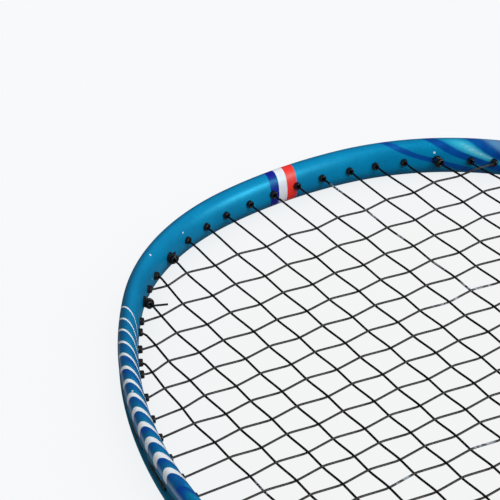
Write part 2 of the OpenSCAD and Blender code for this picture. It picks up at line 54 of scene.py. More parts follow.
# the tube's section: width in the racket's plane, height, corner radius, fullness of the inner face
TUBE_W, TUBE_H, ROUND, BULGE = 5.0, 10.7, 2.3, 0.28
GROOVE_W, GROOVE_DEEP = 4.0, 1.2
GROOVE_FLOOR = TUBE_W - GROOVE_DEEP
STRING_R = 0.29
GROMMET_D, BORE, PROUD, FLANGE_D, FLANGE_T = 2.1, 1.2, 1.3, 3.4, 0.5
TIE_D, TIE_BORE, TIE_PROUD = 2.8, 2.1, 0.75
TIP_Y = OVERALL - TUBE_W  # inner edge of the tube at the tip


def direction(angle):
    angle = math.radians(angle)
    return np.array([math.cos(angle), math.sin(angle)])


CROWN_C = np.array([0, TIP_Y - CROWN_R])
SHOULDER_C = CROWN_C + (CROWN_R - SHOULDER_R) * direction(CROWN_END)
SIDE_C = SHOULDER_C + (SHOULDER_R - SIDE_R) * direction(SHOULDER_END)
LOWER_C = SIDE_C + (SIDE_R - LOWER_R) * direction(SIDE_END)
THROAT_R = LOWER_R + LOWER_C[0] / math.sin(math.radians(THROAT_SPAN))
THROAT_C = LOWER_C + (LOWER_R - THROAT_R) * direction(LOWER_END)
OUT_Y = THROAT_C[1] - THROAT_R - TUBE_W  # outer face of the tube at the throat
# centre, inner radius, lowest and highest normal angle
ARCS = [
    (CROWN_C, CROWN_R, CROWN_END, 90),
    (SHOULDER_C, SHOULDER_R, SHOULDER_END, CROWN_END),
    (SIDE_C, SIDE_R, SIDE_END, SHOULDER_END),
    (LOWER_C, LOWER_R, LOWER_END, SIDE_END),
    (THROAT_C, THROAT_R, -90, LOWER_END),
]
# distance along the tube's middle from the tip to the end of each arc
RUN = [0.0]
for _, radius, low, high in ARCS:
    RUN.append(RUN[-1] + (radius + TUBE_W / 2) * math.radians(high - low))
HALF_LENGTH = RUN[-1]


def plane_point(angle, out):
    """The point on the right half at a normal angle, a distance out from the tube's inner edge."""
    arc = next((arc for arc in ARCS if angle > arc[2]), ARCS[-1])
    return arc[0] + (arc[1] + out) * direction(angle)


def point(angle, out, side, z):
    """The same in space; side is 1 on the right and -1 on the left."""
    p = plane_point(angle, out)
    return np.array([side * p[0], p[1], z])


def station(along):
    """Arc centre, radius, normal angle and side at a signed distance along the tube from the tip."""
    side, run = (1 if along >= 0 else -1), abs(along)
    for i, (centre, radius, _, high) in enumerate(ARCS):
        if run <= RUN[i + 1] or i == 4:
            return centre, radius, high - math.degrees((run - RUN[i]) / (radius + TUBE_W / 2)), side


def angle_at_y(y, out):
    for centre, radius, low, high in ARCS:
        sine = (y - centre[1]) / (radius + out)
        if abs(sine) <= 1 and low - 1e-6 <= math.degrees(math.asin(sine)) <= high + 1e-6:
            return math.degrees(math.asin(sine))


# ------------------------------------------------------------------ layout of the strings
# distances out from the tube's inner edge: grommet mouth, string's exit, bore's straight part,
# start of the turn, and the lane the string follows along the groove
MOUTH, LIP, DEEP, RISE = -PROUD - 0.45, -PROUD - 0.12, TUBE_W - 1.1, TUBE_W - 0.6
LANE = GROOVE_FLOOR + FLANGE_T + STRING_R + 0.03
N_MAINS, N_CROSS = 20, 23
MAIN_XS = [(i - 9.5) * 8.07 for i in range(N_MAINS)]
# normal angles of the main holes in the right half, from the middle outwards
HALF_TOP = [88.0, 83.9, 78.7, 72.1, 65.0, 57.0, 48.8, 38.4, 31.9, 27.0]
HALF_BOTTOM = [-86.9, -80.4, -73.9, -67.2, -60.3, -52.5, -44.1, -37.1, -32.4, -27.0]
TOP_HOLES = HALF_TOP[::-1] + HALF_TOP
BOTTOM_HOLES = HALF_BOTTOM[::-1] + HALF_BOTTOM
TOP_ENDS = [plane_point(angle, LIP) for angle in TOP_HOLES]
BOTTOM_ENDS = [plane_point(angle, LIP) for angle in BOTTOM_HOLES]


def cross_gap(j):
    """Gap below cross j: tighter at mid-head, wider towards both ends."""
    middle = 0.85 * math.exp(-((j - 10.6) / 2.2) ** 2)
    return 7.95 - middle + 4.15 * math.exp(-j / 2.3) + 3.35 / (1 + math.exp((16.6 - j) / 1.25))


CROSS_YS = [TIP_Y - 22.0]
for row in range(N_CROSS - 1):
    CROSS_YS.append(CROSS_YS[-1] - cross_gap(row))
CROSS_HOLES = [angle_at_y(y, MOUTH) - (1.4 if j == 0 else 0.4 if j < 6 else 0)
               for j, y in enumerate(CROSS_YS)]
# heights of the lanes: mains, mains on the way to their tie-off, crosses
MAIN_Z, MAIN_TIE_Z, CROSS_Z = -0.80, -1.52, 0.80
CROSS_RISE, MAIN_DROP = 0.45, 0.24  # heights of the weave
# mains whose grommets take the tied ends: of the mains, of the first cross, of the last cross
TIE_MAIN, TIE_CROSS, TIE_BOTTOM = 15, 17, 15
TIE_Z = 0.7  # offset of the tied end inside its grommet


def main_x(i, y):
    """A main's x, drawn in towards its holes near both ends."""
    x = abs(MAIN_XS[i])
    reach = {19: 30.0, 0: 30.0, 18: 17.0, 1: 17.0}.get(i, 12.0)
    top = max(0.0, 1 - (TOP_ENDS[i][1] - y) / reach)
    low = max(0.0, 1 - (y - BOTTOM_ENDS[i][1]) / reach)
    x -= (x - TOP_ENDS[i][0]) * min(top, 1.0) + (x - BOTTOM_ENDS[i][0]) * min(low, 1.0)
    return math.copysign(x, MAIN_XS[i])


def on_main(i, y):
    return BOTTOM_ENDS[i][1] < y < TOP_ENDS[i][1]


# ------------------------------------------------------------------ mesh helpers
def new_mesh(name, verts, faces, smooth=True):
    mesh = bpy.data.meshes.new(name)
    mesh.from_pydata((np.asarray(verts, float) * 0.001).tolist(), [], faces)
    mesh.validate()
    mesh.update()
    if smooth:
        mesh.polygons.foreach_set("use_smooth", [True] * len(mesh.polygons))
    ob = bpy.data.objects.new(name, mesh)
    bpy.context.scene.collection.objects.link(ob)
    return ob


def add_attr(ob, name, data):
    attribute = ob.data.attributes.new(name, "FLOAT_VECTOR", "POINT")
    attribute.data.foreach_set("vector", np.asarray(data, np.float32).ravel())


def grid_faces(n, k, closed=False, off=0, flip=False):
    """Quads between n rings of k points; closed joins the last ring to the first."""
    faces = []
    for i in range(n if closed else n - 1):
        j = (i + 1) % n
        for q in range(k):
            p = (q + 1) % k
            quad = [off + i * k + q, off + j * k + q, off + j * k + p, off + i * k + p]
            faces.append(quad[::-1] if flip else quad)
    return faces


def full_turn(k):
    return np.linspace(0, 2 * math.pi, k, endpoint=False)


def ring(radius, y, angles):
    """Points round the racket's long axis; the radius is a number or one per angle."""
    return np.stack([radius * np.cos(angles), np.full(len(angles), y),
                     radius * np.sin(angles)], 1)


def distances(points):
    """Running distance along a path."""
    return np.r_[0, np.cumsum(np.linalg.norm(np.diff(points, axis=0), axis=1))]


def chaikin(path, rounds=2):
    """Cuts the corners of a path and keeps its ends."""
    path = np.asarray(path, float)
    for _ in range(rounds):
        a, b = path[:-1], path[1:]
        cut = np.empty((2 * len(a), 3))
        cut[0::2], cut[1::2] = 0.75 * a + 0.25 * b, 0.25 * a + 0.75 * b
        path = np.vstack([path[:1], cut[1:-1], path[-1:]])
    return path


def sweep(name, path, radius, k=12):
    """A capped round tube along a path that starts level, carried without twist."""
    path = np.asarray(path, float)
    path = path[np.r_[True, np.linalg.norm(np.diff(path, axis=0), axis=1) > 1e-4]]
    tangents = np.gradient(path, axis=0)
    tangents /= np.linalg.norm(tangents, axis=1)[:, None]
    across = np.cross(tangents[0], [0.0, 0.0, 1.0])
    across /= np.linalg.norm(across)
    turn = full_turn(k)
    rings = []
    for centre, tangent in zip(path, tangents):
        across = across - (across @ tangent) * tangent
        across /= np.linalg.norm(across)
        third = np.cross(tangent, across)
        offset = np.outer(np.cos(turn), across) + np.outer(np.sin(turn), third)
        rings.append(centre + radius * offset)
    n = len(rings)
    faces = grid_faces(n, k)
    faces.append(list(range(k)))
    faces.append(list(range((n - 1) * k, n * k))[::-1])
    ob = new_mesh(name, np.vstack(rings), faces)
    run = np.repeat(distances(path), k)
    add_attr(ob, "run", np.stack([run, np.tile(np.arange(k) / k, n), np.zeros(n * k)], 1))
    return ob


def lathe(profile, k):
    """A closed profile of (radius, height) turned round +Z; returns verts and faces."""
    profile = np.asarray(profile, float)
    turn = full_turn(k)
    verts = np.stack([np.outer(profile[:, 0], np.cos(turn)), np.outer(profile[:, 0], np.sin(turn)),
                      np.repeat(profile[:, 1], k).reshape(-1, k)], 2)
    return verts.reshape(-1, 3), grid_faces(len(profile), k, closed=True)


def lathe_along_y(name, profile, k):
    """The same as an object, laid along the racket with +Z turned to +Y."""
    verts, faces = lathe(profile, k)
    return new_mesh(name, np.stack([verts[:, 0], verts[:, 2], -verts[:, 1]], 1), faces)


def round_profile(points, radius, steps):
    """A closed profile with its corners rounded."""
    out = []
    points = [np.asarray(p, float) for p in points]
    for i, corner in enumerate(points):
        back, ahead = points[i - 1] - corner, points[(i + 1) % len(points)] - corner
        back_len, ahead_len = np.linalg.norm(back), np.linalg.norm(ahead)
        cut = min(radius, back_len * 0.45, ahead_len * 0.45)
        start, end = corner + back / back_len * cut, corner + ahead / ahead_len * cut
        for q in range(steps + 1):
            t = q / steps
            out.append((1 - t) ** 2 * start + 2 * t * (1 - t) * corner + t * t * end)
    return out


def finish_piece(ob, material, node):
    """Gives a piece its material and puts it in place of a CAD node."""
    ob.data.materials.clear()
    ob.data.materials.append(material)
    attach(ob, "root")
    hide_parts(node)


# ------------------------------------------------------------------ shader helpers
class Value:
    """An output socket; arithmetic on it adds Math nodes."""

    def __init__(self, graph, socket):
        self.graph = graph
        self.socket = socket

    def out(self, key):
        """Another output of the same node."""
        return Value(self.graph, self.socket.node.outputs[key])

    def op(self, operation, *others):
        return self.graph.math(operation, self, *others)

    def __add__(self, other):
        return self.op("ADD", other)

    def __radd__(self, other):
        return self.graph.math("ADD", other, self)

    def __sub__(self, other):
        return self.op("SUBTRACT", other)

    def __rsub__(self, other):
        return self.graph.math("SUBTRACT", other, self)

    def __mul__(self, other):
        return self.op("MULTIPLY", other)

    def __truediv__(self, other):
        return self.op("DIVIDE", other)

    def __mod__(self, other):
        return self.op("FLOORED_MODULO", other)

    def __pow__(self, other):
        return self.op("POWER", other)

    def __abs__(self):
        return self.op("ABSOLUTE")

    def max(self, other):
        return self.op("MAXIMUM", other)

    def scaled(self, gain, offset):
        return self.op("MULTIPLY_ADD", gain, offset)

    def step(self, start, end):
        """0 at start, 1 at end, smooth between; start may be above end."""
        falling = start > end
        inputs = {0: self, 1: min(start, end), 2: max(start, end),
                  3: float(falling), 4: float(not falling)}
        return self.graph.node("MapRange", inputs, interpolation_type="SMOOTHSTEP")

    def band(self, centre, half, soft):
        """1 within half of the centre, fading over soft to either side of the edge."""
        return abs(self - centre).step(half + soft, half - soft)


class Graph:
    """The node tree of a material or world."""

    def __init__(self, owner):
        self.owner = owner
        owner.use_nodes = True
        self.tree = owner.node_tree
        self.tree.nodes.clear()

    def put(self, socket, value):
        """Links a Value or sets a constant; colours gain an alpha of 1."""
        if isinstance(value, Value):
            self.tree.links.new(value.socket, socket)
            return
        if isinstance(value, tuple) and len(socket.default_value) == 4:
            value = (*value, 1.0)[:4]
        socket.default_value = value

    def node(self, kind, inputs=(), out=0, **settings):
        made = self.tree.nodes.new("ShaderNode" + kind)
        for key, value in settings.items():
            setattr(made, key, value)
        for key, value in dict(inputs).items():
            self.put(made.inputs[key], value)
        return Value(self, made.outputs[out])

    def output(self, kind, shader):
        """Ends the tree and returns the material or world."""
        self.put(self.tree.nodes.new("ShaderNodeOutput" + kind).inputs["Surface"], shader)
        return self.owner

    def math(self, operation, first, second=0.0, *third, clamp=False):
        inputs = enumerate((first, second, *third))
        return self.node("Math", inputs, operation=operation, use_clamp=clamp)

    def mix_shader(self, factor, first, second):
        return self.node("MixShader", {0: factor, 1: first, 2: second})


class Mat(Graph):
    """A material; here is the object position, in millimetres unless a scale is given."""

    def __init__(self, name, scale=(1000, 1000, 1000)):
        super().__init__(bpy.data.materials.new(name))
        self.here = self.pos(scale)

    def pos(self, scale=(1000, 1000, 1000)):
        metres = self.node("TexCoord", out="Object")
        return self.node("VectorMath", {0: metres, 1: scale}, operation="MULTIPLY")

    def mix(self, factor, first, second):
        return self.node("Mix", {0: factor, 6: first, 7: second}, out=2, data_type="RGBA")

    def noise(self, scale, detail=3, rough=0.6, warp=0.0, at=None):
        return self.node("TexNoise", {"Vector": at or self.here, "Scale": scale, "Detail": detail,
                                      "Roughness": rough, "Distortion": warp})

    def mottled(self, first, second, scale, start=0.3, end=0.7, rough=0.6):
        """Two colours in soft patches."""
        return self.mix(self.noise(scale, rough=rough).step(start, end), first, second)

    def voronoi(self, scale, feature="F1"):
        return self.node("TexVoronoi", {"Vector": self.here, "Scale": scale}, feature=feature)

    def xyz(self, vector):
        parts = self.node("SeparateXYZ", {0: vector})
        return [parts.out(i) for i in range(3)]

    def attr(self, name):
        """The three parts of a mesh attribute."""
        return self.xyz(self.node("Attribute", out="Vector", attribute_name=name))

    def vec(self, x, y, z):
        return self.node("CombineXYZ", {0: x, 1: y, 2: z})

    def hypot(self, x, y):
        return (abs(x) ** 2.0 + abs(y) ** 2.0).op("SQRT")

    def brighten(self, colour, value):
        return self.node("HueSaturation", {"Color": colour, "Value": value})

    def bump(self, height, strength, distance=0.0001):
        return self.node("Bump", {"Strength": strength, "Distance": distance, "Height": height})

    def surface(self, **inputs):
        named = {key.replace("_", " "): value for key, value in inputs.items()}
        return self.output("Material", self.node("BsdfPrincipled", named))


# ------------------------------------------------------------------ the tube
def spaced(curve, count):
    """(fraction, first, second) at even distances along a curve of two columns."""
    run = distances(curve)
    return [(q, float(np.interp(q * run[-1], run, curve[:, 0])),
             float(np.interp(q * run[-1], run, curve[:, 1]))) for q in np.linspace(0, 1, count)]


def section():
    """Points (out, z, around, in groove) round the tube, and the whole distance around.

    around runs from the middle of the outer face over the top.
    """
    top, edge = TUBE_H / 2, GROOVE_W / 2 - 0.15
    floor_out, lip, mid = GROOVE_FLOOR, TUBE_W - 0.16, TUBE_W - ROUND
    points = [
        (floor_out, 0.01, 0.0, 1), (floor_out, 0.8, 0.8, 1),
        (floor_out, edge - 0.35, edge - 0.35, 1), (floor_out + 0.1, edge - 0.1, edge - 0.1, 1),
        (floor_out + 0.35, edge, edge, 1), (lip - 0.22, edge, edge, 1),
        (lip - 0.06, edge + 0.05, edge + 0.05, 0.5),
    ]
    # a soft oval from the groove's edge up to the top
    power, start = 2.12, edge + 0.15
    first = math.acos((start / top) ** (power / 2))
    oval = np.array([(mid + (TUBE_W - mid) * math.sin(t) ** (2 / power),
                      top * math.cos(t) ** (2 / power)) for t in np.linspace(first, 0, 300)])
    crest = top - ROUND + ROUND * math.pi / 2
    for q, out, z in spaced(oval, 19):
        points.append((out, z, start + (crest - start) * q, 0))
    # a squarer one over the top and down the inner face
    power = 2.3
    inner = TUBE_W - 2 * ROUND + ROUND * math.pi / 2 + top - ROUND
    oval = np.array([(mid - (mid + BULGE) * math.sin(t) ** (2 / power),
                      top * math.cos(t) ** (2 / power)) for t in np.linspace(0, math.pi / 2, 400)])
    for q, out, z in spaced(oval, 23)[1:]:
        points.append((out, z, crest + inner * q, 0))
    half = crest + inner
    under = [(out, -z, 2 * half - around, groove) for out, z, around, groove in points[::-1][1:]]
    return points + under, 2 * half


SECTION, AROUND = section()
# slanted distances along the left side of the pale rings
RING_AT = [80.5, 85.8, 90.8, 96.2, 101.5, 107.2, 112.9, 118.8, 124.9, 131.2, 137.7, 144.2, 150.7]
# slant of the rings: distance around, shift along
RING_SLANT = ([-3, 4, 7, 9.5, 13, 20, 28], [-7, -1.05, 1.65, 4.9, 9.5, 19, 30])
# slant of the blue stripes: distance around, shift along
STRIPE_SLANT = (
    [0, 5, 5.5, 6, 6.5, 7.25, 8, 9.5, 11, 12.5, 14, 15.5, 17, 20, 28],
    [-14, -4, -2.7, -1.4, -0.3, 0.9, 2.0, 4.2, 6.8, 10.3, 14.5, 19.4, 23.6, 32, 52],
)
# widening of the stripes: distance around, factor
STRIPE_WIDTH = ([6.5, 9.5, 11, 12.5, 14, 16, 20], [1, 1.15, 1.3, 1.65, 1.9, 2.1, 2.3])


def ring_phase(along, around):
    """A whole number on each pale ring, rising towards the handle."""
    q = -(along + np.interp(around, *RING_SLANT))
    # further down the ends sweep back along the outer shoulder
    q = q - 0.30 * np.clip(6.7 - around, 0, 3.6) ** 2 * np.clip((-along - 95) / 27, 0, 1)
    last = len(RING_AT) - 1
    inside = np.interp(q, RING_AT, np.arange(last + 1))
    after = np.where(q > RING_AT[-1], last + (q - RING_AT[-1]) / 5.9, inside)
    return np.where(q < RING_AT[0], (q - RING_AT[0]) / 5.0, after)


def build_tube():
    end = HALF_LENGTH - 0.01
    stations = np.r_[np.arange(-HALF_LENGTH + 0.01, end, 1.15), end]
    shape = np.array(SECTION)
    n, k = len(stations), len(shape)
    verts = np.empty((n, k, 3))
    for i, along in enumerate(stations):
        centre, radius, angle, side = station(along)
        normal = direction(angle)
        verts[i, :, 0] = side * (centre[0] + (radius + shape[:, 0]) * normal[0])
        verts[i, :, 1] = centre[1] + (radius + shape[:, 0]) * normal[1]
        verts[i, :, 2] = shape[:, 1]
    faces = grid_faces(n, k, closed=True, flip=True)
    ob = new_mesh("frame_tube", verts.reshape(-1, 3), faces)
    along = np.repeat(stations, k)
    around = np.tile(shape[:, 2], n)
    add_attr(ob, "place", np.stack([along, around, np.tile(shape[:, 3], n)], 1))
    stripe = along - np.interp(around, *STRIPE_SLANT)
    add_attr(ob, "pattern", np.stack([ring_phase(along, around), stripe,
                                      np.interp(around, *STRIPE_WIDTH)], 1))
    return ob


def build_throat():
    """Fairing from the shaft's socket out to the tube."""
    start, k, bore = OUT_Y - 21, 56, 3.53
    ease = (0.35, 0.12)  # how far the first rings draw in
    ys = np.r_[start, start + 0.15, start + 0.5, np.linspace(start + 1.2, OUT_Y - 13, 12),
               np.linspace(OUT_Y - 12.4, OUT_Y + 0.6, 26)]
    turn = full_turn(k)
    rings = [ring(bore, start + 5, turn), ring(bore, start, turn)]
    for i, y in enumerate(ys):
        half_z = 4.35 + 0.75 * (y - start) / (OUT_Y + 4 - start)
        half_x = half_z
        rise = y - (OUT_Y - 12.6)
        if rise > 0:
            # fillets of radius 12 sweep out to either side
            fillet = 16.4 - math.sqrt(max(144 - min(rise, 11.3) ** 2, 0)) + 0.12 * rise
            half_x = min(max(half_z, fillet), 11.2)
        power = 2 + 1.6 * max(0, min(1, (half_x - half_z) / 5))
        inset = ease[i] if i < len(ease) else 0.0
        c, s = np.cos(turn), np.sin(turn)
        rings.append(np.stack([
            (half_x - inset) * np.sign(c) * np.abs(c) ** (2 / power), np.full(k, y),
            (half_z - inset) * np.sign(s) * np.abs(s) ** (2 / power)], 1))
    n = len(rings)
    faces = grid_faces(n, k)
    faces.append(list(range((n - 1) * k, n * k))[::-1])
    return new_mesh("throat_fairing", np.vstack(rings), faces)


# ------------------------------------------------------------------ strings
def out_path(angle, side, z, turn):
    """From a grommet's mouth through its bore into the lane; turn is the way it then goes."""
    return [point(angle, LIP, side, 0), point(angle, DEEP, side, 0),
            point(angle + turn * 0.22, RISE, side, 0.35 * z),
            point(angle + turn * 0.7, LANE, side, z)]


def lane_run(start, end, side, z):
    """Points along the lane between two angles, without its ends."""
    n = max(2, int(abs(end - start) / 1.5) + 1)
    return [point(start + (end - start) * i / n, LANE, side, z) for i in range(1, n)]


def loop(start, end, side, z):
    """Out of one hole, along the lane and in at the next."""
    turn = 1 if end > start else -1
    return (out_path(start, side, z, turn) + lane_run(start + 0.7 * turn, end - 0.7 * turn, side, z)
            + out_path(end, side, z, -turn)[::-1])


def tie_end(angle, side, z, turn):
    """From the lane, on the turn side of a tie-off hole, in through its bore."""
    inside = math.copysign(TIE_Z, z)
    return [point(angle + turn * 0.9, LANE, side, z),
            point(angle + turn * 0.3, RISE + 0.1, side, 0.7 * z),
            point(angle, DEEP, side, inside), point(angle, 0.5, side, inside)]


def wave(i, j):
    """1 where cross j goes over main i, -1 where it goes under."""
    return 1 if (i + j) % 2 == 0 else -1


def main_run(i, side, down):
    """The woven points of one main, towards the throat or back."""
    main = i if side > 0 else N_MAINS - 1 - i
    path = []
    for j, cross_y in enumerate(CROSS_YS):
        if not on_main(i, cross_y):
            continue
        for y in (cross_y + 0.9, cross_y - 0.9):
            if on_main(i, y):
                path.append(np.array([side * abs(main_x(i, y)), y, -MAIN_DROP * wave(main, j)]))
    return path if down else path[::-1]


def main_half(side):
    """One half of the main string, from the tip to its tied end."""
    path = [np.array([0, plane_point(90, LANE)[1], MAIN_Z]), point(89.2, LANE, side, MAIN_Z)]
    path += out_path(TOP_HOLES[10], side, MAIN_Z, 1)[::-1]
    for i in range(10, N_MAINS):
        down = i % 2 == 0
        path += main_run(i, side, down)
        if i < N_MAINS - 1:
            holes = BOTTOM_HOLES if down else TOP_HOLES
            path += loop(holes[i], holes[i + 1], side, MAIN_Z)
    last, tie = TOP_HOLES[-1], TOP_HOLES[TIE_MAIN]
    path += [point(last, LIP, side, 0), point(last, DEEP, side, 0),
             point(last + 0.25, RISE, side, 0.35 * MAIN_TIE_Z),
             point(last + 0.9, LANE, side, MAIN_TIE_Z)]
    path += lane_run(last + 0.9, tie - 1.4, side, MAIN_TIE_Z)
    return path + tie_end(tie, side, MAIN_TIE_Z, -1)


def cross_row(j, side):
    """One cross from a side to the other, over and under the mains, without its ends."""
    mains = [i for i in range(N_MAINS) if on_main(i, CROSS_YS[j])]
    end = point(CROSS_HOLES[j], LIP, 1, 0)
    xs = [main_x(i, CROSS_YS[j]) for i in mains]
    path = [point(CROSS_HOLES[j], LIP, -1, 0)]
    for q, (i, x) in enumerate(zip(mains, xs)):
        y, z = CROSS_YS[j], CROSS_RISE * wave(i, j)
        if q in (0, len(mains) - 1):
            # the outermost crossings lean towards the holes
            lean = (end[1] - y) * (1.7 if j == 0 else 0.9)
            y += lean * (abs(x) - abs(xs[1])) / (end[0] - abs(xs[1]))
        path += [np.array([x - 1.0, y, z * 0.93]), np.array([x, y, z * 1.04]),
                 np.array([x + 1.0, y, z * 0.93])]
    path.append(end)
    path = list(chaikin(path, 1))[1:-1]
    return path if side < 0 else path[::-1]


def cross_path():
    tie = TOP_HOLES[TIE_CROSS]
    path = tie_end(tie, -1, CROSS_Z, 1)[::-1]
    path += lane_run(tie + 0.9, CROSS_HOLES[0] - 0.7, -1, CROSS_Z)
    path += out_path(CROSS_HOLES[0], -1, CROSS_Z, -1)[::-1]
    path = list(chaikin(path))
    for j in range(N_CROSS):
        side = -1 if j % 2 == 0 else 1
        path += cross_row(j, side)
        if j < N_CROSS - 1:
            path += list(chaikin(loop(CROSS_HOLES[j], CROSS_HOLES[j + 1], -side, CROSS_Z)))
    last, tie = CROSS_HOLES[-1], BOTTOM_HOLES[TIE_BOTTOM]
    end = out_path(last, 1, CROSS_Z, -1) + lane_run(last - 0.7, tie + 1.4, 1, CROSS_Z)
    return path + list(chaikin(end + tie_end(tie, 1, CROSS_Z, 1)))


# name, main it is tied to, side, face (1 top, -1 underside),
# way along the main (-1 from the crown, 1 from the throat), the cut end's reach, CAD node
KNOTS = (
    ("knot_left_a", TIE_MAIN, -1, -1, -1, (0.9, -0.5, 0.7), "knot_main_left"),
    ("knot_right_a", TIE_MAIN, 1, -1, -1, (-1.0, 0.3, 0.8), "knot_main_right"),
    ("knot_left_b", TIE_CROSS, -1, 1, -1, (4.6, -2.7, 0.3), "knot_cross_top"),
    ("knot_right_b", TIE_BOTTOM, 1, 1, 1, (-2.0, 1.6, 0.6), "knot_cross_bottom"),
)


def knot_path(i, side, face, way, tail):
    """Out of the tie-off grommet, turns round the main beside it, then a cut end."""
    angle = (TOP_HOLES if way < 0 else BOTTOM_HOLES)[i]
    z, mouth = face * TIE_Z, -TIE_PROUD + 0.1
    x0, y0, _ = point(angle, mouth, side, 0)
    x_far = side * abs(main_x(i, y0 + way * 3.0))
    wrap_r = 2 * STRING_R + 0.06
    path = [point(angle, 0.6, side, z), point(angle, mouth, side, z * 1.1)]
    # three tight turns out along the main, then two and a half loose ones back over them
    steps = 72
    for q in range(steps + 1):
        t = q / steps
        if t < 0.5:
            turned, along, radius = 2 * math.pi * 3.0 * t * 2, 0.1 + 1.9 * t * 2, wrap_r
        else:
            back = (t - 0.5) * 2
            turned = 2 * math.pi * (3.0 + 2.5 * back)
            along = 2.0 - 1.25 * back + 0.25 * math.sin(9 * back)
            radius = wrap_r + 0.56 * min(1.0, back * 5)
        x = x0 + (x_far - x0) * along / 3.0
        path.append(np.array([x + side * radius * math.sin(turned), y0 + way * along,
                              face * radius * math.cos(turned)]))
    end = path[-1]
    for part in (0.3, 0.65, 1.0):
        path.append(end + np.asarray(tail) * part)
    return chaikin(path, 1)


# ------------------------------------------------------------------ grommets
def grommet_profile(bore, proud, diameter):
    """Barrel with a small collar at the tube's inner face and a flange in the groove."""
    inner, outer, flange = bore / 2, diameter / 2, FLANGE_D / 2
    top = GROOVE_FLOOR + FLANGE_T
    points = [
        (inner, -proud), (outer - 0.1, -proud), (outer, -proud + 0.35), (outer + 0.02, -0.3),
        (outer + 0.16, -0.02), (outer + 0.16, 0.03), (outer - 0.02, 0.12),
        (outer, GROOVE_FLOOR), (flange, GROOVE_FLOOR), (flange, top), (inner, top),
    ]
    return round_profile(points, radius=0.14, steps=3)


def build_grommets(name, places, bore=BORE, proud=PROUD, diameter=GROMMET_D):
    """Grommets at (normal angle, side), each a little out of true."""
    verts, faces, barrel, off = [], [], [], 0
    for angle, side in places:
        v, quads = lathe(grommet_profile(bore, proud, diameter), 22)
        normal = direction(angle)
        p = plane_point(angle, 0)
        wobble = RNG.uniform(-0.045, 0.045, 3)
        out, across = v[:, 2] + wobble[2], v[:, 0] * (1 + wobble[0])
        x = p[0] + normal[0] * out - normal[1] * across
        y = p[1] + normal[1] * out + normal[0] * across
        verts.append(np.stack([side * x, y, v[:, 1] * (1 + wobble[1])], 1))
        faces += [[off + i for i in (quad if side > 0 else quad[::-1])] for quad in quads]
        barrel.append(np.stack([np.hypot(v[:, 0], v[:, 1]), v[:, 2],
                                np.full(len(v), RNG.uniform())], 1))
        off += len(v)
    ob = new_mesh(name, np.vstack(verts), faces)
    add_attr(ob, "barrel", np.vstack(barrel))
    return ob


# ------------------------------------------------------------------ handle
HANDLE_K = 144  # points round the handle
GRIP_LOW, GRIP_TOP = 3.1, 164.0
WRAP_PITCH = 23.0


def handle_ring(y, grow, angles):
    """Radius of the handle's softened octagon, grown outwards, at each angle."""
    flare = 0.0 if y > 42 else 2.9 * math.cos(math.radians(90 * y / 42)) ** 1.6
    width, thick = 22.2 + 2 * flare + 2 * grow, 19.4 + 1.8 * flare + 2 * grow
    corner = 6.1 + 0.55 * flare + 0.59 * grow
    x, z = np.cos(angles), np.sin(angles)
    diagonal = (width / 2 + thick / 2 - corner) / math.sqrt(2)
    sides = [np.abs(x) / (width / 2), np.abs(z) / (thick / 2),
             (np.abs(x) + np.abs(z)) / math.sqrt(2) / diagonal]
    power = 26  # the higher, the sharper the corners
    return 1 / sum(s ** power for s in sides) ** (1 / power)


def build_grip():
    ys = np.r_[GRIP_LOW, 3.12, 3.3, np.linspace(3.8, 163.4, 300), 163.8, 163.98, GRIP_TOP]
    low_inset, top_inset = (1.2, 0.35, 0.12), (0.12, 0.35, 1.0)  # rounded ends
    k, n = HANDLE_K, len(ys)
    turn = full_turn(k)
    part = turn / (2 * math.pi)
    rings, wrap = [], []
    for i, y in enumerate(ys):
        # the tape winds up the handle; each turn lies on the edge of the one below it
        phase = ((y - 4.0) / WRAP_PITCH - part) % 1.0
        lap = np.clip(phase / 0.05, 0, 1) * np.clip((1.0 - phase) / 0.55, 0, 1)
        edge = np.exp(-((phase - 0.065) / 0.03) ** 2)
        groove = np.exp(-((np.minimum(phase, 1 - phase)) / 0.022) ** 2)
        grow = 1.25 + 0.34 * lap + 0.10 * edge - 0.38 * groove
        inset = low_inset[i] if i < 3 else top_inset[i - n + 3] if i >= n - 3 else 0.0
        rings.append(ring(handle_ring(y, 0.0, turn) + (grow - inset), y, turn))
        wrap.append(np.stack([phase, np.full(k, y), part], 1))
    faces = grid_faces(n, k, flip=True)
    # inner wall, so that the wrap is a sleeve with thickness
    off = n * k
    for y in (163.9, 3.2):
        rings.append(ring(handle_ring(y, 0.58, turn), y, turn))
        wrap.append(np.stack([np.full(k, 0.5), np.full(k, y), part], 1))
    faces += grid_faces(2, k, off=off, flip=True)
    top = (n - 1) * k
    for q in range(k):
        p = (q + 1) % k
        faces.append([top + p, off + p, off + q, top + q])
        faces.append([off + k + p, p, q, off + k + q])
    ob = new_mesh("grip_tape", np.vstack(rings), faces)
    add_attr(ob, "wrap", np.vstack(wrap))
    return ob


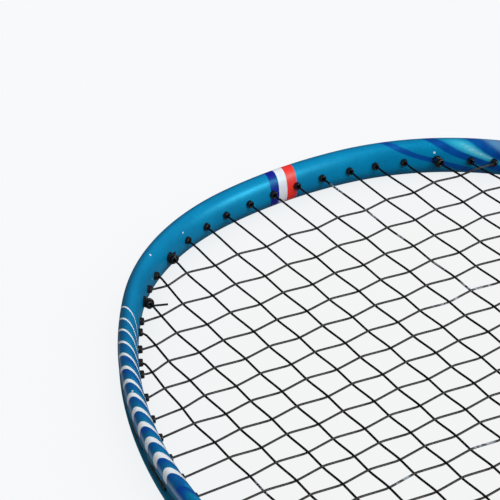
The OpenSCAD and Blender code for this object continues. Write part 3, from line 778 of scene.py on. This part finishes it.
def build_tape():
    """Band over the grip's upper end, its outside stepped where the tape laps itself."""
    top = GRIP_TOP
    # height, growth; the list goes round the band's section
    rows = [(top - 9, 1.72), (top - 9.02, 2.05), (top - 8.8, 2.12)]
    rows += [(y, 2.13 + 0.03 * math.sin(y * 1.9)) for y in np.linspace(top - 8.4, top - 0.6, 24)]
    rows += [(top + 0.2, 2.08), (top + 0.8, 1.8), (top + 1.25, 1.1), (top + 1.4, 0.5),
             (top + 1.3, 0.1), (top + 0.1, 0.1), (top + 0.02, 1.72)]
    k = HANDLE_K
    turn = full_turn(k)
    rings, band = [], []
    for y, grow in rows:
        lapped = 0.16 * (1 / (1 + np.exp(-(turn - 4.2) * 30))) * (grow > 1.0)
        rings.append(ring(handle_ring(y, grow, turn) + lapped, y, turn))
        band.append(np.stack([turn / (2 * math.pi), np.full(k, y), np.full(k, grow)], 1))
    ob = new_mesh("tape_band", np.vstack(rings), grid_faces(len(rings), k, closed=True, flip=True))
    add_attr(ob, "band", np.vstack(band))
    return ob


def build_butt():
    # height, growth of the octagonal outside
    shell = [(0.0, 0.55), (0.05, 1.0), (0.25, 1.35), (0.7, 1.55), (1.5, 1.62), (2.3, 1.56),
             (2.7, 1.4), (2.88, 1.15), (2.9, 0.5)]
    # height, radius of the hollow plug and the badge's recess
    inside = [(2.9, 6.4), (11.0, 6.4), (11.0, 4.8), (4.0, 4.8), (4.0, 0.02), (0.8, 0.02),
              (0.8, 9.55), (0.12, 9.55), (0.0, 9.7)]
    turn = full_turn(HANDLE_K)
    rings = [ring(handle_ring(y, grow, turn), y, turn) for y, grow in shell]
    rings += [ring(radius, y, turn) for y, radius in inside]
    faces = grid_faces(len(rings), HANDLE_K, closed=True, flip=True)
    return new_mesh("butt_shell", np.vstack(rings), faces)


def build_badge():
    # radius, height: a disc with raised rims
    profile = [(0.02, 0.78), (0.02, 0.06), (4.3, 0.06), (4.5, 0.16), (4.7, 0.06), (7.5, 0.04),
               (7.7, 0.14), (8.7, 0.14), (8.9, 0.04), (9.25, 0.02), (9.45, 0.15), (9.5, 0.4),
               (9.5, 0.78)]
    return lathe_along_y("badge_disc", profile, 96)


def build_shaft():
    inner, outer, low, top = 2.5, 3.5, 115, OUT_Y - 3.2
    profile = [(inner, low), (outer, low)]
    profile += [(outer, y) for y in np.linspace(130, top - 1, 60)]
    profile += [(outer, top - 0.05), (inner, top - 0.05)]
    return lathe_along_y("shaft_rod", profile, 64)


def build_cone():
    """Cone cap: a stepped skirt, fine ridges and a bore for the shaft."""
    profile = [(7.1, 166.2), (11.6, 166.15), (11.75, 166.5), (11.75, 167.0), (11.55, 167.35),
               (11.3, 167.5)]
    for i in range(1, 60):
        t = i / 60
        radius = 4.7 + 6.6 * (1 - t) ** 1.35
        if 0.10 < t < 0.5:
            radius -= 0.16 * max(0.0, math.sin((t - 0.10) / 0.4 * math.pi * 9)) ** 4
        profile.append((radius, 167.3 + 37.8 * t))
    profile += [(4.66, 205.2), (4.5, 205.6), (4.1, 205.72), (3.57, 205.7), (3.57, 179.6),
                (7.1, 179.5)]
    return lathe_along_y("cone_shell", profile, 96)


# ------------------------------------------------------------------ the frame's paint
# colours are linear throughout
# the third teal is painted shade for the outer shoulder and the low inner side
TEAL, TEAL_DEEP, TEAL_PAINTED_SHADE = (0.0004, 0.27, 0.55), (0.0004, 0.22, 0.47), (0.0004, 0.095, 0.235)
SHAFT_TEAL = (0.0025, 0.11, 0.25)
ROYAL, ROYAL_DEEP = (0.001, 0.075, 0.42), (0.001, 0.04, 0.31)
# the cyans are painted highlights and the lilac a painted sheen, set among the royal stripes
CYAN_HIGHLIGHT, CYAN_HIGHLIGHT_CORE, LILAC_PAINTED_SHEEN = (0.06, 0.62, 0.84), (0.50, 0.84, 0.95), (0.22, 0.34, 0.62)
# painted highlight colour for the outer shoulder
SHOULDER_HIGHLIGHT = (0.50, 0.66, 0.92)
OUTER = (0.014, 0.22, 0.40)
RING_WHITE, BAND_WHITE = (0.93, 0.97, 1.0), (0.86, 0.89, 0.95)
NAVY, RED = (0.006, 0.001, 0.30), (0.98, 0.028, 0.022)
SPECK, DASH, GROOVE_DARK = (0.85, 0.92, 0.97), (0.006, 0.012, 0.022), (0.01, 0.05, 0.10)
SCUFF = (0.2, 0.3, 0.36)
PAINT_ROUGH, PAINT_METAL, COAT = 0.36, 0.10, 0.0
SPEC_TINT = (0.14, 1.0, 0.95, 1.0)
# royal stripes right of the tip: centre, half-width, softness, strength
STRIPES = (
    (32.5, 1.35, 0.5, 0.9), (45.6, 1.85, 0.6, 0.92), (58.2, 2.4, 0.9, 0.9),
    (72.5, 3.6, 0.9, 0.95), (90.0, 5.0, 1.2, 0.95), (112.0, 7.5, 2.0, 0.95),
)
# dust specks: along, around, radius
SPECKS = (
    (-55.8, 8.0, 0.30), (-39.2, 10.7, 0.26), (47.1, 11.3, 0.34), (-118.5, 6.4, 0.28),
    (-121.0, 7.0, 0.18), (-28.6, 13.2, 0.16), (21.0, 14.0, 0.14), (-60.5, 13.0, 0.18),
)


def teal_base(mat):
    return mat.mottled(TEAL_DEEP, TEAL, scale=0.06, start=0.35, end=0.68, rough=0.55)


def paint_stripes(mat, colour, royal, along, around, stripe, widening):
    """Slanted stripes on the right of the crown, with a painted cyan highlight and a painted lilac
    sheen between them.
    """
    slant = stripe + mat.noise(scale=0.22, detail=2, rough=0.5).scaled(0.6, -0.3)
    cyan_highlight = slant.band(51.8, 2.6, 2.4) * around.band(10.6, 3.0, 1.8)
    colour = mat.mix(cyan_highlight * 0.9, colour, CYAN_HIGHLIGHT)
    # painted highlight: a paler core within the cyan one, broken into streaks
    core = slant.band(52.6, 0.8, 1.6) * around.band(11.0, 1.6, 1.5)
    streaks = mat.noise(scale=1.0, at=mat.vec(along * 0.5, around * 1.4, 0.0))
    core = core * streaks.step(0.3, 0.65)
    colour = mat.mix(core * 0.85, colour, CYAN_HIGHLIGHT_CORE)
    for centre, half, soft, strength in STRIPES:
        line = (abs(slant - centre) - widening * half).step(soft, -soft)
        colour = mat.mix(line * strength, colour, royal)
    # painted sheen: a lilac band between two of the stripes
    return mat.mix(slant.band(64.0, 3.0, 2.4) * 0.6, colour, LILAC_PAINTED_SHEEN)


def paint_blues(mat, colour, royal, along, around, phase):
    """Royal shading between the pale rings, and a blotchy fade down both sides."""
    part = phase.op("FRACT")
    ringed = phase.step(0.0, 0.12) * phase.step(14.2, 13.2)
    deep = part.step(0.04, 0.14) * part.step(0.85, 0.3)
    deep = deep * phase.step(-1.0, 6.0)
    patch = mat.noise(scale=1.0, at=mat.vec(along * 0.16, around * 0.2, 3.1)).step(0.38, 0.62)
    deep = deep * patch.scaled(0.35, 0.65)
    colour = mat.mix(deep * ringed * 0.95, colour, royal)
    blot = mat.noise(scale=1.0, at=mat.vec(along * 0.1, around * 0.16, 0.7)).step(0.42, 0.62)
    left = along.step(-150, -160) * along.step(-330, -250)
    colour = mat.mix(left * blot * 0.9, colour, royal)
    right = along.step(150, 175) * along.step(330, 250)
    return mat.mix(right * blot * 0.9, colour, royal)


def ring_range(phase):
    """1 from the first pale ring to the last."""
    return phase.step(-0.3, -0.2) * phase.step(12.6, 12.4)


def paint_specks(mat, colour, along, around):
    specks = None
    for centre, height, radius in SPECKS:
        reach = mat.hypot(along - centre, around - height)
        one = reach.step(radius + 0.1, radius - 0.1)
        specks = specks.max(one) if specks else one
    return mat.mix(specks, colour, SPECK)


def frame_paint():
    """Pearl teal with blue stripes on the right, pale rings on the left and bands at the tip."""
    mat = Mat("paint_pearl_teal")
    along, around, groove = mat.attr("place")
    phase, stripe, widening = mat.attr("pattern")
    flake = mat.voronoi(scale=3.6)
    grain = mat.noise(scale=1.9, rough=0.7)
    royal = mat.mottled(ROYAL_DEEP, ROYAL, scale=0.25)
    # painted shade: the teal is darkened over the outer shoulder and along the low inner side, where
    # less light reaches and the surroundings reflect dark
    low_inner_shade = abs(around - (AROUND * 0.5 + 5.0)).step(4.0, 1.0)
    painted_shade = around.step(7.9, 6.0).max(low_inner_shade)
    colour = mat.mix(painted_shade * 0.62, teal_base(mat), TEAL_PAINTED_SHADE)
    colour = paint_stripes(mat, colour, royal, along, around, stripe, widening)
    phase = phase + mat.noise(scale=0.3, detail=2, rough=0.5).scaled(0.05, -0.025)
    colour = paint_blues(mat, colour, royal, along, around, phase)
    # the pale rings, thin at the top and thick at the bottom, stop short of the outer face
    off_ring = abs(phase - phase.op("ROUND"))
    white = (off_ring - phase.scaled(0.0112, 0.060)).step(0.022, -0.022) * ring_range(phase)
    white = white * (around.step(2.7, 3.3) * around.step(AROUND - 2.7, AROUND - 3.3))
    colour = mat.mix(white, colour, RING_WHITE)
    # three-colour ring at the tip
    for centre, half, band in ((-3.2, 1.45, NAVY), (-0.45, 1.4, BAND_WHITE), (2.5, 1.6, RED)):
        colour = mat.mix(along.band(centre, half, 0.12), colour, band)
    solid = along.band(-0.4, 4.55, 0.1).max(white).max(0.0)
    # flake sparkle on the metallic coat only
    spark = flake.step(0.28, 0.05).scaled(0.16, grain.scaled(0.5, -0.25)) * (1.0 - solid)
    colour = mat.brighten(colour, 1.0 + spark)
    colour = paint_specks(mat, colour, along, around)
    # painted highlight: a pale strip along the outer shoulder of the ringed part, for the reflection
    # of the bright surroundings
    ringed = along.step(-82, -105) * along.step(-175, -160)
    shoulder_highlight = around.band(3.7, 0.4, 0.8) * (1.0 - white)
    colour = mat.mix(shoulder_highlight * ringed * 0.75, colour, SHOULDER_HIGHLIGHT)
    # a deeper outer face with a dark dash in line with each ring
    outer = around.step(3.4, 2.7).max(around.step(AROUND - 3.4, AROUND - 2.7))
    colour = mat.mix(outer, colour, OUTER)
    dash = (off_ring - phase.scaled(0.006, 0.12)).step(0.05, -0.05) * ring_range(phase)
    colour = mat.mix(dash * around.step(2.9, 2.3) * 0.85, colour, DASH)
    colour = mat.mix(groove.step(0.3, 0.9) * 0.35, colour, GROOVE_DARK)
    scuff = mat.noise(scale=1.3, detail=4, rough=0.7).step(0.62, 0.72) * around.band(2.4, 0.5, 0.4)
    colour = mat.mix(scuff * 0.5, colour, SCUFF)
    rough = mat.noise(scale=0.8).scaled(0.14, PAINT_ROUGH) + groove * 0.3
    metal = (1.0 - solid.max(groove.step(0.3, 0.9))) * PAINT_METAL
    height = mat.noise(scale=0.9) * 0.35 + solid * 0.25 + grain * 0.06
    return mat.surface(
        Base_Color=colour, Metallic=metal, Roughness=rough, Specular_IOR_Level=0.55,
        Specular_Tint=SPEC_TINT, Coat_Weight=COAT, Coat_Roughness=0.15,
        Normal=mat.bump(height, strength=0.25, distance=0.00012))


def throat_paint():
    """The shaft's teal fading into the frame's, with a pale line near the socket."""
    mat = Mat("paint_throat")
    _, y, _ = mat.xyz(mat.here)
    edge = y + mat.noise(scale=0.15, detail=2, rough=0.5).scaled(4, -2)
    colour = mat.mix(edge.step(OUT_Y - 19, OUT_Y - 4), SHAFT_TEAL, teal_base(mat))
    colour = mat.mix(y.band(OUT_Y - 19.6, 0.45, 0.12), colour, RING_WHITE)
    colour = mat.brighten(colour, mat.noise(scale=5.5, detail=2).scaled(0.2, 0.9))
    return mat.surface(
        Base_Color=colour, Metallic=PAINT_METAL, Specular_Tint=SPEC_TINT,
        Roughness=mat.noise(scale=0.8).scaled(0.14, PAINT_ROUGH),
        Coat_Weight=COAT, Coat_Roughness=0.12,
        Normal=mat.bump(mat.noise(scale=0.9), strength=0.12))


# ------------------------------------------------------------------ other materials
# places where the strings' coating has rubbed pale: x, y, half-lengths along x and y
MAIN_RUBS = (
    (12.0, 661.0, 1.2, 3.6), (11.9, 644.5, 1.2, 3.0), (11.9, 630.5, 1.2, 1.6),
    (11.9, 614.0, 1.2, 4.0), (12.1, 601.0, 1.2, 2.0), (-77.3, 559.5, 1.2, 2.6),
)
CROSS_RUBS = (
    (3.5, 598.0, 4.2, 1.2), (14.5, 598.0, 3.2, 1.2), (-24.7, 544.0, 3.2, 1.2),
    (-48.0, 544.0, 2.6, 1.2),
)


def string_mat(name, dark, light, rubs, specular):
    mat = Mat(name)
    run, turn, _ = mat.attr("run")
    # the wrapped filaments show as a fine slanted twist
    twist = ((run * 1.6 + turn * 3.0) * 6.2832).op("SINE")
    colour = mat.mottled(dark, light, scale=0.5, end=0.75)
    bright = tuple(min(1, c * 1.8 + 0.002) for c in light)
    colour = mat.mix(twist.scaled(0.02, 0.02), colour, bright)
    if rubs:
        x, y, _ = mat.xyz(mat.here)
        broken = mat.noise(scale=1.5, detail=4, rough=0.75).step(0.49, 0.56)
        zone = None
        for rub_x, rub_y, half_x, half_y in rubs:
            one = x.band(rub_x, half_x, 0.6) * y.band(rub_y, half_y, 0.6)
            zone = zone.max(one) if zone else one
        colour = mat.mix(broken * zone * 0.8, colour, (0.55, 0.62, 0.70))
    return mat.surface(
        Base_Color=colour, Roughness=mat.noise(scale=1.2, detail=2, rough=0.5).scaled(0.2, 0.32),
        Specular_IOR_Level=specular, Normal=mat.bump(twist, strength=0.05, distance=0.00002))


def grommet_mat():
    mat = Mat("nylon_black")
    radius, depth, random = mat.attr("barrel")
    colour = mat.mottled((0.003, 0.003, 0.004), (0.008, 0.008, 0.009), scale=1.6, start=0.35)
    # painted highlight: a warm brown glint inside the bore
    colour = mat.mix(radius.step(0.75, 0.62) * 0.4, colour, (0.06, 0.035, 0.025))
    ridges = (depth * 14.0).op("SINE")
    height = mat.noise(scale=2.5, detail=2, rough=0.5) + ridges * 0.15
    return mat.surface(
        Base_Color=colour, Roughness=random.scaled(0.15, 0.3), Specular_IOR_Level=0.45,
        Normal=mat.bump(height, strength=0.35, distance=0.00008))


def shaft_mat():
    mat = Mat("shaft_gloss")
    x, y, _ = mat.xyz(mat.pos())
    fade = (y + mat.noise(scale=0.05, detail=2, rough=0.5).scaled(14, -7)).step(250, 370)
    weave = ((y * 0.9 + x * 1.1) * 3.1416).op("SINE")
    colour = mat.mix(fade, (0.006, 0.008, 0.012), SHAFT_TEAL)
    colour = mat.mix(weave.scaled(0.06, 0.06), colour, (0.03, 0.07, 0.11))
    # two thin pale bands near the top and one near the cap
    for centre, half in ((372, 0.9), (366, 0.45), (222, 0.7)):
        colour = mat.mix(y.band(centre, half, 0.12), colour, (0.6, 0.68, 0.76))
    return mat.surface(
        Base_Color=colour, Metallic=0.25, Roughness=mat.noise(scale=0.6).scaled(0.12, 0.16),
        Coat_Weight=0.6, Coat_Roughness=0.06, Normal=mat.bump(mat.noise(scale=0.7), strength=0.12))


def plastic_mat(name, dark, light, rough, bump_scale=1.2):
    """Moulded plastic with fine scratches across the racket's length."""
    mat = Mat(name)
    colour = mat.mottled(dark, light, scale=0.15)
    scratch = mat.noise(scale=1.0, rough=0.7, at=mat.pos((400, 2600, 400))).step(0.66, 0.72)
    colour = mat.mix(scratch * 0.25, colour, tuple(min(1, c * 2.2 + 0.03) for c in light))
    return mat.surface(
        Base_Color=colour, Roughness=mat.noise(scale=0.5).scaled(0.2, rough),
        Normal=mat.bump(mat.noise(bump_scale), strength=0.25))


def grip_mat():
    mat = Mat("grip_pu")
    phase, y, turn = mat.attr("wrap")
    # rows of small perforations that follow the wrap, and a leathery skin
    across = phase * 7.0
    off_row = across.op("FRACT") - 0.5
    stagger = across.op("FLOOR") % 2.0 * 0.5
    off_hole = (turn * 26.0 + stagger).op("FRACT") - 0.5
    hole = mat.hypot(off_row, off_hole).step(0.2, 0.12)
    hole = hole * (phase.step(0.12, 0.16) * phase.step(0.97, 0.93))
    skin = mat.voronoi(scale=1.9, feature="DISTANCE_TO_EDGE")
    colour = mat.mottled((0.010, 0.012, 0.016), (0.022, 0.024, 0.030), scale=0.06)
    worn = mat.noise(scale=0.12, detail=4, rough=0.65).step(0.5, 0.7) * y.band(105, 45, 20)
    colour = mat.mix(worn * 0.4, colour, (0.05, 0.052, 0.058))
    seam = phase.step(0.03, 0.0) + phase.step(0.975, 1.0)
    # painted shade: the perforations are darkened to near black for the shade inside them; the seams
    # between laps are dark joints
    colour = mat.mix(hole.max(seam * 0.8), colour, (0.002, 0.002, 0.003))
    height = skin.step(0.0, 0.1) * 0.35 - hole * 1.0
    return mat.surface(
        Base_Color=colour, Roughness=mat.noise(scale=0.4).scaled(0.2, 0.5),
        Specular_IOR_Level=0.35, Normal=mat.bump(height, strength=0.6, distance=0.0003))


def tape_mat():
    mat = Mat("tape_teal")
    _, y, _ = mat.attr("band")
    colour = mat.mottled((0.004, 0.11, 0.22), (0.006, 0.15, 0.29), scale=0.12)
    for line_y in (157.0, 163.4):
        colour = mat.mix(y.band(line_y, 0.35, 0.1), colour, (0.65, 0.72, 0.78))
    wrinkle = ((y + mat.noise(scale=0.2, detail=2, rough=0.5) * 4.0) * 2.4).op("SINE")
    height = wrinkle * 0.3 + mat.noise(scale=0.6)
    return mat.surface(
        Base_Color=colour, Roughness=mat.noise(scale=0.5).scaled(0.18, 0.3),
        Normal=mat.bump(height, strength=0.3, distance=0.00012))


def badge_mat():
    """Turned satin metal with a teal ring and centre."""
    mat = Mat("badge_satin")
    x, _, z = mat.xyz(mat.pos())
    radius = mat.hypot(x, z)
    teal = (0.004, 0.14, 0.30)
    colour = mat.mottled((0.55, 0.58, 0.62), (0.68, 0.70, 0.74), scale=0.2)
    colour = mat.mix(radius.band(8.2, 0.5, 0.08), colour, teal)
    colour = mat.mix(radius.step(4.6, 4.4), colour, teal)
    spin = mat.noise(scale=1.0, detail=2, rough=0.5, at=mat.vec(radius * 9.0, 0.3, 0.1))
    return mat.surface(
        Base_Color=colour, Metallic=0.5, Roughness=spin.scaled(0.2, 0.22),
        Normal=mat.bump(spin, strength=0.15, distance=0.00005))


def wood_mat():
    mat = Mat("wood_pale", scale=(90, 9, 90))
    grain = mat.noise(scale=3.0, detail=5, rough=0.62, warp=0.6)
    colour = mat.mix(grain.step(0.3, 0.7), (0.46, 0.29, 0.14), (0.66, 0.47, 0.27))
    streak = mat.noise(scale=2.0, at=mat.pos((500, 20, 500))).step(0.6, 0.75)
    colour = mat.mix(streak * 0.5, colour, (0.28, 0.16, 0.07))
    return mat.surface(Base_Color=colour, Roughness=grain.scaled(0.2, 0.5),
                       Normal=mat.bump(grain, strength=0.35, distance=0.0002))


def foam_mat():
    mat = Mat("foam_cream")
    cell = mat.voronoi(scale=1.6, feature="DISTANCE_TO_EDGE")
    colour = mat.mix(cell.step(0.0, 0.12), (0.50, 0.44, 0.30), (0.82, 0.77, 0.62))
    return mat.surface(Base_Color=colour, Roughness=cell.scaled(0.2, 0.75),
                       Normal=mat.bump(cell, strength=0.5, distance=0.0002))


def felt_mat():
    mat = Mat("underlay_felt")
    fibre = mat.noise(scale=2.2, detail=4, rough=0.7)
    colour = mat.mix(fibre.step(0.3, 0.7), (0.46, 0.46, 0.42), (0.70, 0.70, 0.64))
    return mat.surface(Base_Color=colour, Roughness=fibre.scaled(0.1, 0.85),
                       Normal=mat.bump(fibre, strength=0.5, distance=0.0002))


def steel_mat():
    mat = Mat("steel_wire")
    brushed = mat.noise(scale=1.0, at=mat.pos((3000, 600, 3000)))
    colour = mat.mottled((0.52, 0.53, 0.55), (0.40, 0.38, 0.36), scale=0.8, start=0.4)
    return mat.surface(Base_Color=colour, Metallic=0.95, Roughness=brushed.scaled(0.2, 0.25),
                       Normal=mat.bump(brushed, strength=0.2, distance=0.00005))


# ------------------------------------------------------------------ build the racket
finish_piece(build_tube(), frame_paint(), "head_frame")
finish_piece(build_throat(), throat_paint(), "head_frame")

main_mat = string_mat("string_black", (0.0015, 0.0015, 0.0025), (0.004, 0.004, 0.006),
                      MAIN_RUBS, specular=0.2)
# the crosses are the same black string as the mains, painted lighter grey for the highlight they
# catch
cross_mat = string_mat("string_black_painted_lit", (0.018, 0.018, 0.019), (0.034, 0.034, 0.035),
                       CROSS_RUBS, specular=0.35)
knot_mat = string_mat("string_knot", (0.0015, 0.0015, 0.002), (0.005, 0.005, 0.006),
                      None, specular=0.5)
main_path = chaikin(main_half(-1)[::-1] + main_half(1)[1:])
finish_piece(sweep("strings_main", main_path, STRING_R), main_mat, "main_string")
finish_piece(sweep("strings_cross", cross_path(), STRING_R), cross_mat, "cross_string")
for name, *course, node in KNOTS:
    knot = sweep(name, knot_path(*course), STRING_R * 0.98)
    finish_piece(knot, knot_mat, node)

# main holes by (index, side), without and with a tied end
ends = [(i, side) for i in range(10, N_MAINS) for side in (1, -1)]
top_ties = [e for e in ends if e[0] == TIE_MAIN or e == (TIE_CROSS, -1)]
bottom_ties = [(TIE_BOTTOM, 1)]
nylon = grommet_mat()
for name, places, node in (
    ("crown", [(TOP_HOLES[i], s) for i, s in ends if (i, s) not in top_ties], "crown"),
    ("throat", [(BOTTOM_HOLES[i], s) for i, s in ends if (i, s) not in bottom_ties], "throat"),
    ("right", [(angle, 1) for angle in CROSS_HOLES], "right_side"),
    ("left", [(angle, -1) for angle in CROSS_HOLES], "left_side"),
):
    finish_piece(build_grommets("grommet_set_" + name, places), nylon,
                 "grommets_" + node)
ties = [(TOP_HOLES[i], s) for i, s in top_ties] + [(BOTTOM_HOLES[i], s) for i, s in bottom_ties]
finish_piece(build_grommets("grommet_set_tie_off", ties, TIE_BORE, TIE_PROUD, TIE_D),
             nylon, "tie_off_grommets")

finish_piece(build_shaft(), shaft_mat(), "shaft_tube")
cap_mat = plastic_mat("cap_black", (0.006, 0.007, 0.009), (0.014, 0.015, 0.017), rough=0.22)
finish_piece(build_cone(), cap_mat, "cone_cap")
finish_piece(build_grip(), grip_mat(), "grip_wrap")
finish_piece(build_tape(), tape_mat(), "finishing_tape")
butt_mat = plastic_mat("butt_black", (0.008, 0.009, 0.011), (0.018, 0.019, 0.021), rough=0.35,
                       bump_scale=2.0)
finish_piece(build_butt(), butt_mat, "butt_cap")
finish_piece(build_badge(), badge_mat(), "butt_badge")

# inner pieces stay as the CAD made them, with their own finishes
joint_mat = plastic_mat("joint_grey", (0.02, 0.02, 0.024), (0.04, 0.04, 0.046), rough=0.5)
for node, material in (
    ("handle_core", wood_mat()),
    ("frame_foam_core", foam_mat()),
    ("grip_underlay", felt_mat()),
    ("grip_staples", steel_mat()),
    ("t_joint_core", joint_mat),
):
    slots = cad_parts[node].data.materials
    if not slots:
        slots.append(material)
    for i in range(len(slots)):
        slots[i] = material

# ------------------------------------------------------------------ floor
# the second paper tone is painted shade under the head; SHADE colours the painted shade close to the
# racket
PAPER, PAPER_SHADE_UNDER_HEAD, SHADE = (0.939, 0.947, 0.965), (0.930, 0.928, 0.930), (0.42, 0.52, 0.54)
FLOOR_GLOW = 0.15  # light the floor gives back to the racket
BUTT_Z, FLOOR_HALF = -14.0, 9000


def floor_mat():
    """Paper shown at its own brightness, with painted shade close to the racket and under the head.
    """
    mat = Mat("floor_paper", scale=(1, 1, 1))
    paper = mat.mix(mat.noise(scale=9.0, rough=0.5), tuple(c * 0.998 for c in PAPER),
                    tuple(min(c * 1.002, 1.0) for c in PAPER))
    # painted shade: a slightly darker, warmer tone on the paper within the head, for the light the
    # strings hold back
    x, y, _ = mat.xyz(mat.pos())
    reach = mat.hypot(x / 95.0, (y - 545.0) / 125.0)
    paper = mat.mix(reach.step(1.02, 0.72), paper, PAPER_SHADE_UNDER_HEAD)
    # painted shade: the paper darkened towards SHADE where ambient occlusion finds the racket close
    near = 1.0 - mat.node("AmbientOcclusion", {"Distance": 0.055}, out="AO", samples=24)
    lit = mat.mix(mat.math("MULTIPLY", near, 0.27, clamp=True), paper, SHADE)
    seen = mat.node("Emission", {"Color": lit})
    given = mat.node("Emission", {"Color": paper, "Strength": FLOOR_GLOW})
    shader = mat.mix_shader(mat.node("LightPath", out="Is Camera Ray"), given, seen)
    # seen from underneath, the floor lets the view through
    behind = mat.node("NewGeometry", out="Backfacing")
    return mat.output("Material", mat.mix_shader(behind, shader, mat.node("BsdfTransparent")))


# the floor slopes from under the butt up to just under the tip
slope = (-TUBE_H / 2 - 0.05 - BUTT_Z) / 672.0
corners = [(x * FLOOR_HALF, y * FLOOR_HALF, BUTT_Z + slope * y * FLOOR_HALF)
           for x, y in ((-1, -1), (1, -1), (1, 1), (-1, 1))]
floor = new_mesh("floor", corners, [[0, 1, 2, 3]], smooth=False)
floor.data.materials.append(floor_mat())


# ------------------------------------------------------------------ light
def sky(graph, generated, towards, ramp, strength):
    """A soft gradient across the sky along a direction; ramp is (place, colour)."""
    facing = graph.node("VectorMath", {0: generated, 1: Vector(towards).normalized()},
                        out="Value", operation="DOT_PRODUCT")
    shades = graph.node("ValToRGB", {0: facing.scaled(0.5, 0.5)})
    elements = shades.socket.node.color_ramp.elements
    while len(elements) < len(ramp):
        elements.new(0.5)
    for element, (place, colour) in zip(elements, ramp):
        element.position = place
        element.color = (*colour, 1.0)
    return graph.node("Background", {0: shades, 1: strength})


def build_world():
    """One sky for soft light, one for reflections, and plain paper for the camera."""
    world = bpy.data.worlds.new("studio")
    bpy.context.scene.world = world
    graph = Graph(world)
    glossy_ray = graph.node("LightPath", out="Is Glossy Ray")
    generated = graph.node("TexCoord", out="Generated")
    white = (1.0, 1.0, 1.0)
    fill = sky(graph, generated, (0.1, -0.45, 0.9),
               ((0.0, (0.25, 0.27, 0.30)), (0.45, (0.45, 0.47, 0.50)), (1.0, white)), strength=0.50)
    gloss = sky(graph, generated, (0.1, -0.6, 0.8),
                ((0.0, (0.15, 0.17, 0.20)), (0.55, (0.35, 0.37, 0.40)), (1.0, white)),
                strength=0.40)
    lighting = graph.mix_shader(glossy_ray, fill, gloss)
    paper = graph.node("Background", {0: PAPER})
    graph.output("World", graph.mix_shader(glossy_ray.out("Is Camera Ray"), lighting, paper))


def sun(name, towards, strength, angle, diffuse=True, glossy=True):
    light = bpy.data.lights.new(name, "SUN")
    light.energy = strength
    light.angle = math.radians(angle)
    ob = bpy.data.objects.new(name, light)
    bpy.context.scene.collection.objects.link(ob)
    ob.rotation_mode = "QUATERNION"
    ob.rotation_quaternion = Vector(towards).normalized().to_track_quat("Z", "Y")
    ob.visible_diffuse = diffuse
    ob.visible_glossy = glossy


build_world()
sun("softbox", (0.05, -0.70, 0.72), strength=1.95, angle=40, glossy=False)
sun("sheen", (0.56, -0.79, 0.16), strength=1.9, angle=12, diffuse=False)


# ------------------------------------------------------------------ camera
def build_camera():
    """Above the left side, looking up the racket and down at the head; place in metres."""
    camera = bpy.data.cameras.new("camera")
    camera.lens = 167.743
    camera.sensor_width = 36.0
    camera.sensor_fit = "HORIZONTAL"
    camera.clip_start = 0.01
    camera.clip_end = 60.0
    ob = bpy.data.objects.new("camera", camera)
    bpy.context.scene.collection.objects.link(ob)
    right = Vector((0.84929, -0.52629, -0.04159)).normalized()
    forward = Vector((0.42617, 0.72994, -0.53438)).normalized()
    up = right.cross(forward).normalized()
    right = forward.cross(up).normalized()
    ob.rotation_mode = "QUATERNION"
    ob.rotation_quaternion = Matrix((right, up, -forward)).transposed().to_quaternion()
    ob.location = (-0.29155, 0.19125, 0.33480)
    bpy.context.scene.camera = ob


build_camera()
view = bpy.context.scene.view_settings
view.view_transform = "Standard"
view.look = "None"
view.exposure = 0.0
view.gamma = 1.0
